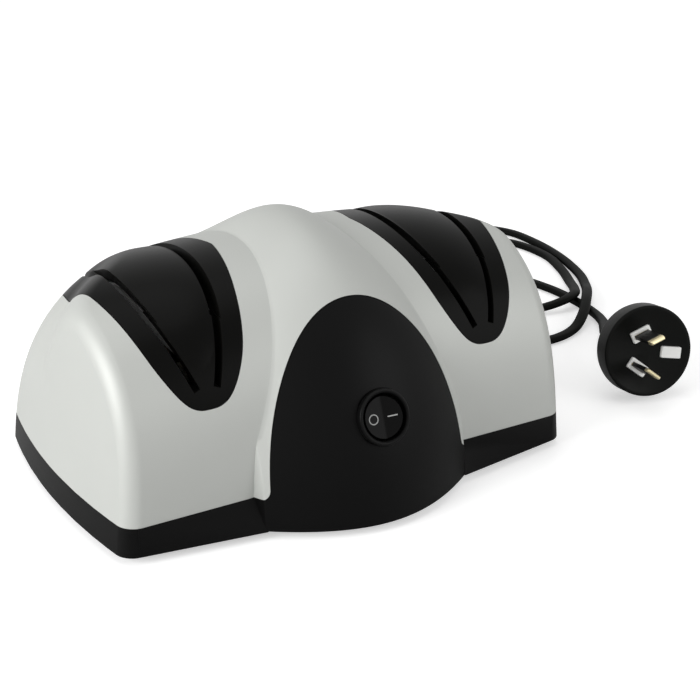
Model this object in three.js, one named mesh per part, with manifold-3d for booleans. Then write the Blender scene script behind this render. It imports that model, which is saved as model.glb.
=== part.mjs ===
// Electric knife sharpener with two sharpening stages, a rocker switch and a corded plug.
// Millimetres, +Z up, X along the body, the switch side faces -Y.
// The origin is on the table, under the middle of the body.
import * as THREE from "three";
import { ConvexGeometry } from "three/addons/geometries/ConvexGeometry.js";
import { mergeVertices, toCreasedNormals } from "three/addons/utils/BufferGeometryUtils.js";
import Module from "manifold-3d";

const wasm = await Module();
wasm.setup();

// Places of the two sharpening stages, which set the body's length
const stageX = 56;
const insertHalfWidth = 27.8;
const insertEndMargin = 13.4;

// Body: two arched wings and a taller hump between them
const wingHalfLength = stageX + insertHalfWidth + insertEndMargin;
const wingHalfDepth = 57.4;
const wingHeight = 88.3;
const wingCrestDrop = 7.6;
const wingCrestPowerShare = 1.5;
const wingMiddlePowerShare = 3.76;
const wingEndPowerShare = 3.4;
const endRounding = 6;
const endRearRounding = 47;
const endRearStartDegrees = 74;
const endRearFullDegrees = 110;
const endBow = 5.8;
const endDraft = 8.6;
const endCapShares = [0.6, 0.25];
const humpFrontReach = 79.5;
const humpBackReach = 61;
const humpHeight = 95.4;
const humpFootHalfWidth = 52.4;
const humpTopHalfWidth = 20.5;
const humpNarrowLowDegrees = 5;
const humpNarrowHighDegrees = 90;
const humpLeastRidge = 0.6;
const humpFlankX = 45;
const humpFlankRun = 2.4;
const humpTailDrop = 2;
const humpCoreRadius = 22;

// Shell walls and the split between base and cover
const footHeight = 3;
const splitHeight = 14;
const coverWall = 2.5;
const baseFloor = 2.5;
const lipWall = 1.8;
const lipRise = 3;
const shellGap = 0.3;
const skirtReach = 6.7;
const skirtInnerX = 41;
const skirtEndInset = 11.2;

// Front arch: the black nose carries the switch inside this outline
const archHalfWidth = 39.3;
const archRise = 64.5;
const archSpringHeight = 12;
const archFootRadius = 5;
const noseWall = 2.6;
const cutDepth = humpFrontReach + humpHeight;

// Slot inserts, one for each sharpening stage
const insertRise = 67;
const insertTip = -3;
const insertOutlineShares = [
  [0, 0],
  [0.16, 0.008],
  [0.3, 0.045],
  [0.44, 0.125],
  [0.575, 0.245],
  [0.675, 0.384],
  [0.785, 0.576],
  [0.9, 0.785],
  [1, 1],
  [1.08, 1.2],
];
const insertWall = 2.5;
const insertFlange = 3.5;
const insertFlangeWall = 2;
const wedgeRise = 1;
const wedgeSink = 0.2;
const wedgeEndHalfWidth = 1.5;

// Knife slots lean to the sharpening angle and close towards the bottom
const slotLeanDegrees = 20.5;
const slotBottomHeight = 55.6;
const slotBottomSpacing = 7.2;
const slotWideWidth = 3.4;
const slotNarrowWidth = 2.5;
const slotStepHeight = 74.5;
const slotOverhang = 17.6;
const slotLength = 2 * (wingHalfDepth + slotOverhang);
const guideWall = 1.8;
const guideHalfLength = 36;
const guideWheelGap = 3.2;

// Case screws, bosses and feet
const bossEndInset = 12.7;
const bossSideInset = 23.4;
const bossX = wingHalfLength - bossEndInset;
const bossY = wingHalfDepth - bossSideInset;
const bossRadius = 4;
const caseScrewRadius = 1.45;
const caseScrewHoleRadius = 1.8;
const caseScrewHeadRadius = 3;
const caseScrewHeadHeight = 1.8;
const caseScrewLength = 18;
const counterboreRadius = 3.4;
const counterboreDepth = 7;
const footEndInset = 29.7;
const footSideInset = 8.9;
const footX = wingHalfLength - footEndInset;
const footY = wingHalfDepth - footSideInset;
const footRadius = 6.5;
const footPegRadius = 2.2;
const footPegHoleRadius = 2.5;
const footPegRise = 4;

// Cooling slits in the base floor under the motor
const slitLength = 26;
const slitWidth = 2.6;
const slitPitch = 7;
const slitCount = 5;

// Motor: shaded-pole frame, its coil above the rotor, on the line of the grinding wheels
const axisHeight = 39;
const statorHalfDepth = 24;
const statorHalfThickness = 8;
const statorLegWidth = 10;
const statorYokeHeight = 8.5;
const statorWindowHeight = 9;
const statorPoleWall = 3;
const statorBackWall = 6.6;
const rotorRadius = 12;
const rotorAirGap = 0.4;
const rotorBoreRadius = rotorRadius + rotorAirGap;
const statorBottomHeight = axisHeight - rotorBoreRadius - statorBackWall;
const statorWindowBottom = axisHeight + rotorBoreRadius + statorPoleWall;
const statorTopHeight = statorWindowBottom + statorWindowHeight + statorYokeHeight;
const endRingRadius = 10.4;
const endRingThickness = 2.5;
const shaftRadius = 2.4;
const shaftOverhang = 10;
const shaftHalfLength = stageX + shaftOverhang;
const pressGap = 0.3;
const bobbinWall = 1;
const bobbinFlange = 1.2;
const bobbinFlangeHalfWidth = 15.2;
const bobbinRise = 5.2;
const bobbinTopHeight = statorTopHeight + bobbinRise;
const windingMargin = 0.6;
const motorBoltY = 19;
const motorBoltRise = 7;
const motorBoltHeight = statorBottomHeight + motorBoltRise;
const motorBoltRadius = 1.5;
const motorBoltHoleRadius = 1.8;
const motorBoltHeadRadius = 2.9;
const motorBoltHeadHeight = 1.6;
const motorNutHeight = 1.6;
const motorBoltTip = 1.6;
const bracketInnerX = 17;
const bracketWall = 2.5;
const bracketHalfDepth = 23.5;
const bracketRise = 11;
const bracketTopHeight = axisHeight + bracketRise;
const bracketFootHeight = 14;
const bracketFootLength = 10;
const spacerRadius = 3.4;
const bearingBossRadius = 7;
const bearingBossLength = 9;
const bushRadius = 4.4;
const bushLength = 8;
const bushBoreRadius = 2.7;
const motorPostRadius = 4;
const motorScrewRadius = 1.4;
const motorScrewHeadRadius = 2.8;
const motorScrewHeadHeight = 1.6;
const motorScrewLength = 8.4;
const bracketScrewX = bracketInnerX + bracketWall + bracketFootLength / 2;

// Grinding wheels on the motor shaft
const wheelRadius = 20.8;
const wheelThickness = 7;
const wheelRimBevel = 2;
const wheelRimShare = 0.75;
const hubRadius = 8;
const hubFlangeRadius = 11;
const hubFlangeThickness = 1.5;
const hubLength = 10;
const clipRadius = 4.6;
const clipThickness = 0.9;
const spacerTubeRadius = 4.2;

// Round rocker switch in the nose
const switchHeight = 40.4;
const switchSeatDepth = 1;
const switchHoleRadius = 9.2;
const bezelRadius = 10;
const bezelProud = 1.8;
const barrelRadius = 8.9;
const barrelLength = 14;
const rockerWindowRadius = 8.3;
const rockerRadius = 8;
const rockerPivotDepth = 1.2;
const rockerFaceRise = 3;
const rockerBelow = 3;
const rockerTiltDegrees = 10;
const rockerClearance = 0.4;
const rockerPinRadius = 0.9;
const rockerPinHoleRadius = 1.2;
const terminalWidth = 4.8;
const terminalThickness = 0.8;
const terminalLength = 7;
const terminalOffset = 4;

// Mains lead: strain relief, flat twin cord and three-pin plug
const cordWidth = 5;
const cordThickness = 3.1;
const reliefX = 38;
const reliefHeight = 24;
const reliefNeckRadius = 4.2;
const reliefHoleRadius = 4.5;
const reliefFlangeRadius = 6.2;
const reliefFlangeThickness = 2;
const reliefTipRadius = 3;
const reliefLength = 26;
const reliefSeatGap = 0.8;
const plugFaceX = 147.4;
const plugFaceY = -40.8;
const plugFaceHeight = 21.29;
const plugRadius = 19;
const plugRimRadius = 18.4;
const plugThickness = 14;
const plugBackRadius = 14.5;
const plugShoulderHeight = 3;
const plugRimDepth = 1;
const plugYawDegrees = 16.5;
const plugLeanDegrees = 12.6;
const plugRollDegrees = 81.8;
const plugReliefLength = 22;
const plugReliefRadius = 4.2;
const plugReliefTipRadius = 3;
const pinCircleRadius = 7.92;
const blankOffset = 10;
const pinTurnDegrees = 60;
const pinWidth = 6.35;
const pinThickness = 1.6;
const pinLength = 17;
const pinTailLength = 4;
const collarWidth = 8.8;
const collarThickness = 4.8;
const collarRise = 0.8;
const carrierRadius = 15;
const carrierDepth = 4;
const carrierThickness = 2;
const cordStraightRun = 8;
const cordRoute = [
  [41, 110, 14.5],
  [52, 126, 4.5],
  [74, 143, 1.9],
  [110, 163, 1.9],
  [150, 177, 1.9],
  [182, 181, 1.9],
  [207, 175, 1.9],
  [221, 158, 1.9],
  [223.5, 138, 1.9],
  [221, 112, 1.9],
  [213.5, 86, 1.9],
  [204.5, 70, 3],
  [196.5, 59, 5.2],
  [187.5, 48.5, 5.9],
  [178, 38.5, 4.6],
  [166, 30, 2.2],
  [151, 25.5, 1.9],
  [136, 28, 1.9],
  [125, 41, 1.9],
  [129, 57, 1.9],
  [144, 63.5, 1.9],
  [158, 59.5, 2.2],
  [169, 55.5, 3.6],
  [179, 54, 5.6],
  [187.6, 57.8, 5.9],
  [194.6, 66.4, 4.2],
  [201.8, 78.6, 2.2],
  [210, 96.4, 1.9],
  [215.8, 117.5, 1.9],
  [212.5, 142, 1.9],
  [200, 156, 1.9],
  [183, 153, 1.9],
  [174.5, 138, 1.9],
  [176.5, 118, 1.9],
  [184, 96, 1.9],
  [188.5, 74, 1.9],
  [188.5, 54, 1.9],
  [185.5, 38, 2.3],
  [178, 24, 4.8],
  [169.5, 13, 8],
];

// Tessellation
const wingStationCount = 3;
const roundingStepCount = 3;
const roundingLeast = 2;
const profileStepCount = 20;
const innerProfileStepCount = 10;
const innerWingStationCount = 2;
const humpStepCount = 6;
const humpFlankStepCount = 3;
const wedgeStepCount = 4;
const wedgeRingCount = 16;
const roundSideCount = 16;
const smallSideCount = 8;
const nutSideCount = 6;
const outlineStepCount = 13;
const cordStepCount = 60;
const halvingCount = 40;
const correctionCount = 6;
const overrun = 1;
const halfOverlap = 0.02;
const creaseDegrees = 28;

const materials = {
  silver: new THREE.MeshStandardMaterial({ color: 0xc4c6c5, roughness: 0.42, metalness: 0.35 }),
  black: new THREE.MeshStandardMaterial({ color: 0x17171a, roughness: 0.5, metalness: 0 }),
  gloss: new THREE.MeshStandardMaterial({ color: 0x101012, roughness: 0.28, metalness: 0 }),
  rubber: new THREE.MeshStandardMaterial({ color: 0x1c1c1c, roughness: 0.85, metalness: 0 }),
  steel: new THREE.MeshStandardMaterial({ color: 0xb8bcc0, roughness: 0.3, metalness: 0.95 }),
  lamination: new THREE.MeshStandardMaterial({ color: 0x6b6f76, roughness: 0.5, metalness: 0.8 }),
  castAlloy: new THREE.MeshStandardMaterial({ color: 0x9da2a6, roughness: 0.45, metalness: 0.85 }),
  bronze: new THREE.MeshStandardMaterial({ color: 0xa9783a, roughness: 0.5, metalness: 0.8 }),
  brass: new THREE.MeshStandardMaterial({ color: 0xc9a24a, roughness: 0.3, metalness: 0.9 }),
  copper: new THREE.MeshStandardMaterial({ color: 0xa5562a, roughness: 0.4, metalness: 0.7 }),
  nylon: new THREE.MeshStandardMaterial({ color: 0xe6e2d4, roughness: 0.55, metalness: 0 }),
  coarseGrit: new THREE.MeshStandardMaterial({ color: 0x7a6a5c, roughness: 0.95, metalness: 0 }),
  fineGrit: new THREE.MeshStandardMaterial({ color: 0xd9d6cf, roughness: 0.92, metalness: 0 }),
};

const radians = THREE.MathUtils.degToRad;

// A closed three.js geometry as a solid that can be joined and cut.
function solidOf(geometry) {
  const bare = geometry.index ? geometry.toNonIndexed() : geometry.clone();
  bare.deleteAttribute("normal");
  bare.deleteAttribute("uv");
  const merged = mergeVertices(bare);
  return solidFrom(merged.attributes.position.array, merged.index.array);
}

function solidFrom(positions, faces) {
  const make = (triVerts) =>
    new wasm.Manifold(
      new wasm.Mesh({
        numProp: 3,
        vertProperties: new Float32Array(positions),
        triVerts: new Uint32Array(triVerts),
      }),
    );
  const solid = make(faces);
  if (solid.volume() >= 0) return solid;
  return make(Array.from(faces).reverse());
}

function joined(...solids) {
  return solids.reduce((all, next) => all.add(next));
}

function cutBy(solid, ...cutters) {
  return cutters.reduce((left, cutter) => left.subtract(cutter), solid);
}

function geometryOf(solid) {
  const { vertProperties, triVerts, numProp, numVert } = solid.getMesh();
  const positions = new Float32Array(numVert * 3);
  for (let i = 0; i < numVert; i++) {
    positions.set(vertProperties.subarray(i * numProp, i * numProp + 3), i * 3);
  }
  const geometry = new THREE.BufferGeometry();
  geometry.setAttribute("position", new THREE.BufferAttribute(positions, 3));
  return geometry.setIndex(new THREE.BufferAttribute(triVerts, 1));
}

// A solid turned and moved by a three.js matrix.
function placed(solid, matrix) {
  const { attributes, index } = geometryOf(solid).applyMatrix4(matrix);
  return solidFrom(attributes.position.array, index.array);
}

// A finished, named mesh from a solid.
function piece(name, solid, material) {
  const mesh = new THREE.Mesh(toCreasedNormals(geometryOf(solid), radians(creaseDegrees)), material);
  mesh.name = name;
  return mesh;
}

function at(x, y, z, mesh) {
  mesh.position.set(x, y, z);
  return mesh;
}

function block(fromX, toX, fromY, toY, fromZ, toZ) {
  const geometry = new THREE.BoxGeometry(toX - fromX, toY - fromY, toZ - fromZ);
  geometry.translate((fromX + toX) / 2, (fromY + toY) / 2, (fromZ + toZ) / 2);
  return solidOf(geometry);
}

// A round bar along axis "x", "y" or "z"; the two places are given in the order of the other axes.
function bar(axis, radius, from, to, placeA = 0, placeB = 0, sides = roundSideCount, endRadius = radius) {
  const geometry = new THREE.CylinderGeometry(endRadius, radius, to - from, sides);
  geometry.translate(0, (from + to) / 2, 0);
  if (axis === "x") {
    geometry.rotateZ(-Math.PI / 2);
    geometry.translate(0, placeA, placeB);
  } else if (axis === "y") {
    geometry.translate(placeA, 0, placeB);
  } else {
    geometry.rotateX(Math.PI / 2);
    geometry.translate(placeA, placeB, 0);
  }
  return solidOf(geometry);
}

// A closed skin through rings of points, fanned shut at both ends.
function loft(rings) {
  const count = rings[0].length;
  const points = rings.flat();
  const faces = [];
  for (let i = 0; i + 1 < rings.length; i++) {
    for (let j = 0; j < count; j++) {
      const a = i * count + j;
      const b = i * count + ((j + 1) % count);
      faces.push(a, b, b + count, a, b + count, a + count);
    }
  }
  for (const [ring, start, turn] of [
    [rings[0], 0, -1],
    [rings.at(-1), points.length - count, 1],
  ]) {
    const centre = new THREE.Vector3();
    ring.forEach((point) => centre.addScaledVector(point, 1 / count));
    const hub = points.push(centre) - 1;
    for (let j = 0; j < count; j++) {
      const pair = [start + j, start + ((j + 1) % count)];
      faces.push(hub, ...(turn > 0 ? pair : pair.reverse()));
    }
  }
  return solidFrom(points.flatMap((point) => point.toArray()), faces);
}

// Distance from the X axis to the wing's skin, at an angle that is 0 at the front and pi at the back.
function wingReach(angle, x, inset) {
  const depth = wingHalfDepth - inset;
  const outShare = Math.abs(x) / wingHalfLength;
  const height = wingHeight - wingCrestDrop * outShare ** wingCrestPowerShare - inset;
  const outward = Math.min(outShare ** 4, 1);
  const heightPower = THREE.MathUtils.lerp(wingMiddlePowerShare, wingEndPowerShare, outward);
  const across = Math.abs(Math.cos(angle)) / depth;
  const up = Math.sin(angle) / height;
  let near = 0;
  let far = depth + height;
  for (let step = 0; step < halvingCount; step++) {
    const middle = (near + far) / 2;
    const level = (middle * across) ** 2 + (middle * up) ** heightPower;
    if (level < 1) near = middle;
    else far = middle;
  }
  return near;
}

// Distance from the X axis to the ridge of the hump, at the same angle.
function humpReach(angle, inset) {
  const depth = (Math.cos(angle) > 0 ? humpFrontReach : humpBackReach) - inset;
  const height = humpHeight - inset;
  return 1 / Math.hypot(Math.cos(angle) / depth, Math.sin(angle) / height);
}

// Half width of the hump's own curve: it narrows from the foot to the crest.
function humpHalfWidth(angle) {
  const climb = THREE.MathUtils.radToDeg(Math.min(angle, Math.PI - angle));
  const narrowed = THREE.MathUtils.smoothstep(climb, humpNarrowLowDegrees, humpNarrowHighDegrees);
  return THREE.MathUtils.lerp(humpFootHalfWidth, humpTopHalfWidth, narrowed);
}

// Where the hump's flank starts: at the foot of its curve, or just outside the arch's feet.
function humpFlankStart(angle, inset) {
  return Math.min(humpHalfWidth(angle), humpFlankX - inset);
}

// How far the hump stands off the wing: past the start of its flank it drops under the wing's skin.
function humpRise(angle, x, inset) {
  const reach = humpReach(angle, inset) - wingReach(angle, 0, inset);
  const curve = Math.max(reach, humpLeastRidge) * (1 - (x / humpHalfWidth(angle)) ** 2);
  const start = humpFlankStart(angle, inset);
  const fall = THREE.MathUtils.smoothstep(Math.abs(x), start, start + humpFlankRun);
  return THREE.MathUtils.lerp(curve, -humpTailDrop, fall);
}

// Radius of the rounding between the wing's skin and its end face: it grows towards the upper rear.
function roundingAt(angle) {
  const degrees = THREE.MathUtils.radToDeg(angle);
  const rear = THREE.MathUtils.smoothstep(degrees, endRearStartDegrees, endRearFullDegrees);
  return THREE.MathUtils.lerp(endRounding, endRearRounding, rear * Math.sin(angle) ** 2);
}

// Angles around a profile: the hidden inner surfaces take fewer steps.
function profileAngles(inset) {
  const count = inset > 0 ? innerProfileStepCount : profileStepCount;
  return Array.from({ length: count + 1 }, (_, i) => (Math.PI * i) / count);
}

function skinPoint(x, angle, reach) {
  const y = -reach * Math.cos(angle);
  const z = reach * Math.sin(angle);
  const bow = (endBow / wingHalfLength) * (y / wingHalfDepth) ** 2;
  const draft = (endDraft / wingHalfLength) * (z / wingHeight);
  return new THREE.Vector3(x * (1 - bow - draft), y, z);
}

// The wing's skin at a real distance along X and an angle, with the bow, draft and end rounding.
function wingSkinAt(realX, angle, inset) {
  const end = wingHalfLength - inset;
  const rounding = Math.max(roundingAt(angle) - inset, roundingLeast);
  let x = realX;
  let point;
  for (let step = 0; step < correctionCount; step++) {
    const turned = Math.min(Math.max((Math.abs(x) - end + rounding) / rounding, 0), 1);
    const drawnIn = rounding * (1 - Math.sqrt(1 - turned ** 2));
    point = skinPoint(x, angle, wingReach(angle, x, inset) - drawnIn);
    x += realX - point.x;
  }
  return point;
}

// Both wings as one arched loaf, moved in from the outer skin by an inset.
function wingSolid(inset) {
  const end = wingHalfLength - inset;
  const ring = (stationShare, turnDegrees, shrinkShare = 1) =>
    profileAngles(inset).map((angle) => {
      const rounding = Math.max(roundingAt(angle) - inset, roundingLeast);
      const turned = radians(turnDegrees);
      const x = stationShare * (end - rounding) + rounding * Math.sin(turned);
      const drawnIn = rounding * (1 - Math.cos(turned));
      return skinPoint(x, angle, shrinkShare * (wingReach(angle, x, inset) - drawnIn));
    });
  const stationCount = inset > 0 ? innerWingStationCount : wingStationCount;
  const half = [];
  for (let i = 0; i <= stationCount; i++) half.push(ring(i / stationCount, 0));
  for (let i = 1; i <= roundingStepCount; i++) half.push(ring(1, (90 * i) / roundingStepCount));
  for (const shrinkShare of endCapShares) half.push(ring(1, 90, shrinkShare));
  const mirrored = half.slice(1).reverse();
  const otherHalf = mirrored.map((points) => points.map((p) => new THREE.Vector3(-p.x, p.y, p.z)));
  return loft([...otherHalf, ...half]);
}

// The hump: at each angle a rounded section that rises out of the wings between two short flanks.
function humpSolid(inset) {
  const rings = profileAngles(inset).map((angle) => {
    const start = humpFlankStart(angle, inset);
    const half = [];
    for (let i = 0; i <= humpStepCount; i++) half.push(start * Math.sin((Math.PI * i) / (2 * humpStepCount)));
    for (let i = 1; i <= humpFlankStepCount; i++) half.push(start + (humpFlankRun * i) / humpFlankStepCount);
    const stations = [...half.slice(1).reverse().map((x) => -x), ...half];
    const ring = stations.map((x) => skinPoint(x, angle, wingReach(angle, x, inset) + humpRise(angle, x, inset)));
    const end = start + humpFlankRun;
    ring.push(skinPoint(end, angle, humpCoreRadius), skinPoint(-end, angle, humpCoreRadius));
    return ring;
  });
  return loft(rings);
}

function bodySolid(inset) {
  return joined(wingSolid(inset), humpSolid(inset));
}

function span(fromZ, toZ) {
  return block(-cutDepth, cutDepth, -cutDepth, cutDepth, fromZ, toZ);
}

// The arch outline of the nose, run through the front half of the body.
function archPrism(grow) {
  const half = archHalfWidth + grow;
  const rise = archRise + grow;
  const footTop = splitHeight + archFootRadius;
  const footTurn = Math.asin((footTop - archSpringHeight) / rise);
  const footX = half * Math.cos(footTurn);
  const shape = new THREE.Shape();
  shape.moveTo(-half - archFootRadius, 0);
  shape.lineTo(half + archFootRadius, 0);
  shape.lineTo(half + archFootRadius, splitHeight);
  shape.quadraticCurveTo(footX, splitHeight, footX, footTop);
  shape.absellipse(0, archSpringHeight, half, rise, footTurn, Math.PI - footTurn, false, 0);
  shape.quadraticCurveTo(-footX, splitHeight, -half - archFootRadius, splitHeight);
  const geometry = new THREE.ExtrudeGeometry(shape, {
    depth: cutDepth,
    bevelEnabled: false,
    curveSegments: outlineStepCount,
  });
  geometry.rotateX(Math.PI / 2);
  return solidOf(geometry);
}

// A slot insert's outline seen from 45 degrees above the front or back, as a prism through the skin.
function insertPrism(centreX, grow) {
  const half = insertOutlineShares.map(
    ([across, up]) => new THREE.Vector2(across * insertHalfWidth, insertTip + up * insertRise),
  );
  const curve = new THREE.SplineCurve([new THREE.Vector2(-half[1].x, half[1].y), ...half]);
  const points = curve.getPoints(outlineStepCount).filter((point) => point.x > 0);
  const grown = points.map((point, i) => {
    const before = points[Math.max(i - 1, 0)];
    const after = points[Math.min(i + 1, points.length - 1)];
    const along = after.clone().sub(before).normalize();
    return new THREE.Vector2(point.x + along.y * grow, point.y - along.x * grow);
  });
  const left = grown.map((point) => new THREE.Vector2(-point.x, point.y)).reverse();
  const outline = [new THREE.Vector2(0, insertTip - grow), ...grown, ...left];
  const shape = new THREE.Shape(outline);
  const halves = [0, Math.PI].map((turn) => {
    const geometry = new THREE.ExtrudeGeometry(shape, { depth: cutDepth, bevelEnabled: false });
    geometry.rotateX(Math.PI / 4).rotateZ(turn);
    const [front, back] = turn ? [-halfOverlap, cutDepth] : [-cutDepth, halfOverlap];
    return solidOf(geometry).intersect(block(-cutDepth, cutDepth, front, back, 0, cutDepth));
  });
  return placed(joined(...halves), new THREE.Matrix4().makeTranslation(centreX, 0, 0));
}

// A flat slab along Y that leans with a knife slot; side is -1 or 1 and offset moves it across itself.
function leaningSlab(centreX, side, offset, width, halfLength, fromZ, toZ) {
  const lean = radians(slotLeanDegrees);
  const height = (toZ - fromZ) / Math.cos(lean);
  const geometry = new THREE.BoxGeometry(width, 2 * halfLength, height);
  geometry.translate(offset, 0, height / 2);
  geometry.rotateY(side * lean);
  const foot = slotBottomSpacing / 2 + (fromZ - slotBottomHeight) * Math.tan(lean);
  geometry.translate(centreX + side * foot, 0, fromZ);
  return solidOf(geometry);
}

// Cover: the silver shell with its two insert windows, the arch and its screw bosses
function cover() {
  const shell = cutBy(bodySolid(0), bodySolid(coverWall));
  const rim = shell.subtract(span(-overrun, splitHeight));
  const bosses = [];
  const pilots = [];
  for (const x of [-bossX, bossX]) {
    for (const y of [-bossY, bossY]) {
      bosses.push(bar("z", bossRadius, splitHeight + shellGap, wingHeight, x, y, smallSideCount));
      const pilotTop = footHeight + counterboreDepth + caseScrewLength + shellGap;
      pilots.push(bar("z", caseScrewHoleRadius, 0, pilotTop, x, y, smallSideCount));
    }
  }
  const inside = bodySolid(coverWall / 2);
  const reliefHole = bar("y", reliefHoleRadius, 0, cutDepth, reliefX, reliefHeight);
  return cutBy(
    joined(rim, ...bosses.map((boss) => boss.intersect(inside))),
    archPrism(shellGap),
    insertPrism(-stageX, 0),
    insertPrism(stageX, 0),
    reliefHole,
    ...pilots,
  );
}

// Base: tray with a skirt that runs out to the nose, the nose itself, bosses and motor posts
function base() {
  const outer = bodySolid(0);
  const skirts = [-1, 1].map((side) => {
    const corners = [];
    for (const [x, reach] of [
      [skirtInnerX, skirtReach],
      [wingHalfLength - skirtEndInset, 0],
    ]) {
      corners.push(new THREE.Vector3(side * x, -wingHalfDepth - reach, footHeight));
      corners.push(new THREE.Vector3(side * x, -wingHalfDepth, splitHeight));
      corners.push(new THREE.Vector3(side * x, coverWall - wingHalfDepth, footHeight));
      corners.push(new THREE.Vector3(side * x, coverWall - wingHalfDepth, splitHeight));
    }
    return solidOf(new ConvexGeometry(corners));
  });
  const wallBand = span(footHeight, splitHeight);
  const inner = bodySolid(coverWall + shellGap + lipWall);
  const wall = outer.intersect(wallBand).subtract(inner.intersect(span(footHeight + baseFloor, cutDepth)));
  const lipBand = span(splitHeight - overrun, splitHeight + lipRise);
  const lip = bodySolid(coverWall + shellGap).subtract(inner).intersect(lipBand);
  const nose = cutBy(outer, bodySolid(noseWall)).intersect(archPrism(0));
  const noseBand = nose.intersect(span(splitHeight - overrun, cutDepth));
  const posts = [];
  const holes = [];
  for (const x of [-bossX, bossX]) {
    for (const y of [-bossY, bossY]) {
      posts.push(bar("z", bossRadius, footHeight, splitHeight, x, y, smallSideCount));
      holes.push(bar("z", caseScrewHoleRadius, 0, cutDepth, x, y, smallSideCount));
      holes.push(bar("z", counterboreRadius, 0, footHeight + counterboreDepth, x, y, smallSideCount));
    }
  }
  for (const x of [-footX, footX]) {
    for (const y of [-footY, footY]) {
      holes.push(bar("z", footPegHoleRadius, 0, splitHeight, x, y, smallSideCount));
    }
  }
  for (const x of [-bracketScrewX, bracketScrewX]) {
    for (const y of [-motorBoltY, motorBoltY]) {
      posts.push(bar("z", motorPostRadius, footHeight, bracketFootHeight, x, y, smallSideCount));
      const pilotFloor = footHeight + baseFloor;
      holes.push(bar("z", motorScrewRadius + pressGap, pilotFloor, splitHeight, x, y, smallSideCount));
    }
  }
  for (let i = 0; i < slitCount; i++) {
    const y = (i - (slitCount - 1) / 2) * slitPitch;
    holes.push(block(-slitLength / 2, slitLength / 2, y - slitWidth / 2, y + slitWidth / 2, 0, splitHeight));
  }
  const seat = bar("z", bezelRadius + shellGap, -switchSeatDepth, bezelRadius);
  const opening = bar("z", switchHoleRadius, -barrelLength, bezelRadius);
  holes.push(placed(joined(seat, opening), switchPlace().matrix));
  return cutBy(joined(wall, lip, noseBand, ...skirts, ...posts), ...holes);
}

// Slot insert: skin in the window, flange under the cover, raised wedge and blade guides
function slotInsert(centreX) {
  const flangeTop = wingSolid(coverWall + shellGap);
  const inner = wingSolid(coverWall + shellGap + insertFlangeWall);
  const skin = wingSolid(0).subtract(inner).intersect(insertPrism(centreX, -shellGap));
  const flange = flangeTop.subtract(inner).intersect(insertPrism(centreX, insertFlange));
  const wedge = wedgeSolid(centreX);
  const guideFoot = axisHeight + wheelRadius + guideWheelGap;
  const guides = [];
  const slots = [];
  for (const side of [-1, 1]) {
    const guideOffset = (slotWideWidth + guideWall) / 2;
    for (const offset of [-guideOffset, guideOffset]) {
      const slab = leaningSlab(
        centreX, side, offset, guideWall, guideHalfLength, guideFoot, wingHeight,
      );
      guides.push(slab.intersect(flangeTop));
    }
    slots.push(
      leaningSlab(centreX, side, 0, slotNarrowWidth, slotLength / 2, slotBottomHeight, cutDepth),
      leaningSlab(centreX, side, 0, slotWideWidth, slotLength / 2, slotStepHeight, cutDepth),
    );
  }
  const split = splitHeight + lipRise + shellGap;
  return cutBy(joined(skin, flange, wedge, ...guides), ...slots, span(-overrun, split));
}

// The front angle at which the wing's skin has a height.
function wingAngleAt(height, x) {
  let low = 0;
  let high = Math.PI / 2;
  for (let step = 0; step < halvingCount; step++) {
    const middle = (low + high) / 2;
    if (wingSkinAt(x, middle, 0).z < height) low = middle;
    else high = middle;
  }
  return low;
}

// The raised wedge between the two slots of a stage: a low dome that fades out at the slot bottoms
function wedgeSolid(centreX) {
  const lean = Math.tan(radians(slotLeanDegrees));
  const start = wingAngleAt(slotBottomHeight, centreX);
  const rings = [];
  for (let i = 0; i <= wedgeRingCount; i++) {
    const angle = THREE.MathUtils.lerp(start, Math.PI - start, i / wedgeRingCount);
    const height = wingSkinAt(centreX, angle, 0).z;
    const half = Math.max(slotBottomSpacing / 2 + (height - slotBottomHeight) * lean, wedgeEndHalfWidth);
    const fade = THREE.MathUtils.smoothstep(height, slotBottomHeight, slotStepHeight);
    const outer = [];
    const inner = [];
    for (let j = 0; j <= wedgeStepCount; j++) {
      const along = (2 * j) / wedgeStepCount - 1;
      const skin = wingSkinAt(centreX + along * half, angle, 0);
      const outward = new THREE.Vector3(0, skin.y, skin.z).normalize();
      const rise = wedgeRise * (1 - along ** 2) * fade - wedgeSink;
      outer.push(skin.clone().addScaledVector(outward, rise));
      inner.unshift(skin.clone().addScaledVector(outward, -insertWall));
    }
    rings.push([...outer, ...inner]);
  }
  return loft(rings);
}

// Case screw, driven up from below: its head ends at the top of the counterbore
function caseScrew() {
  const underside = -caseScrewHeadHeight;
  return joined(
    bar("z", caseScrewHeadRadius, underside, 0, 0, 0, smallSideCount),
    bar("z", caseScrewRadius, underside, caseScrewLength, 0, 0, smallSideCount),
  );
}

function foot() {
  return joined(
    bar("z", footRadius, 0, footHeight),
    bar("z", footPegRadius, 0, footHeight + footPegRise, 0, 0, smallSideCount),
  );
}

// Motor frame of stacked plates: rotor hole, coil window and bolt holes
function stator() {
  const plate = block(
    -statorHalfThickness, statorHalfThickness,
    -statorHalfDepth, statorHalfDepth,
    statorBottomHeight, statorTopHeight,
  );
  const windowHalf = statorHalfDepth - statorLegWidth;
  const window = block(
    -cutDepth, cutDepth, -windowHalf, windowHalf,
    statorWindowBottom, statorTopHeight - statorYokeHeight,
  );
  const bore = bar("x", rotorBoreRadius, -cutDepth, cutDepth, 0, axisHeight);
  const bolts = [-motorBoltY, motorBoltY].map((y) =>
    bar("x", motorBoltHoleRadius, -cutDepth, cutDepth, y, motorBoltHeight, smallSideCount),
  );
  return cutBy(plate, window, bore, ...bolts);
}

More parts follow.
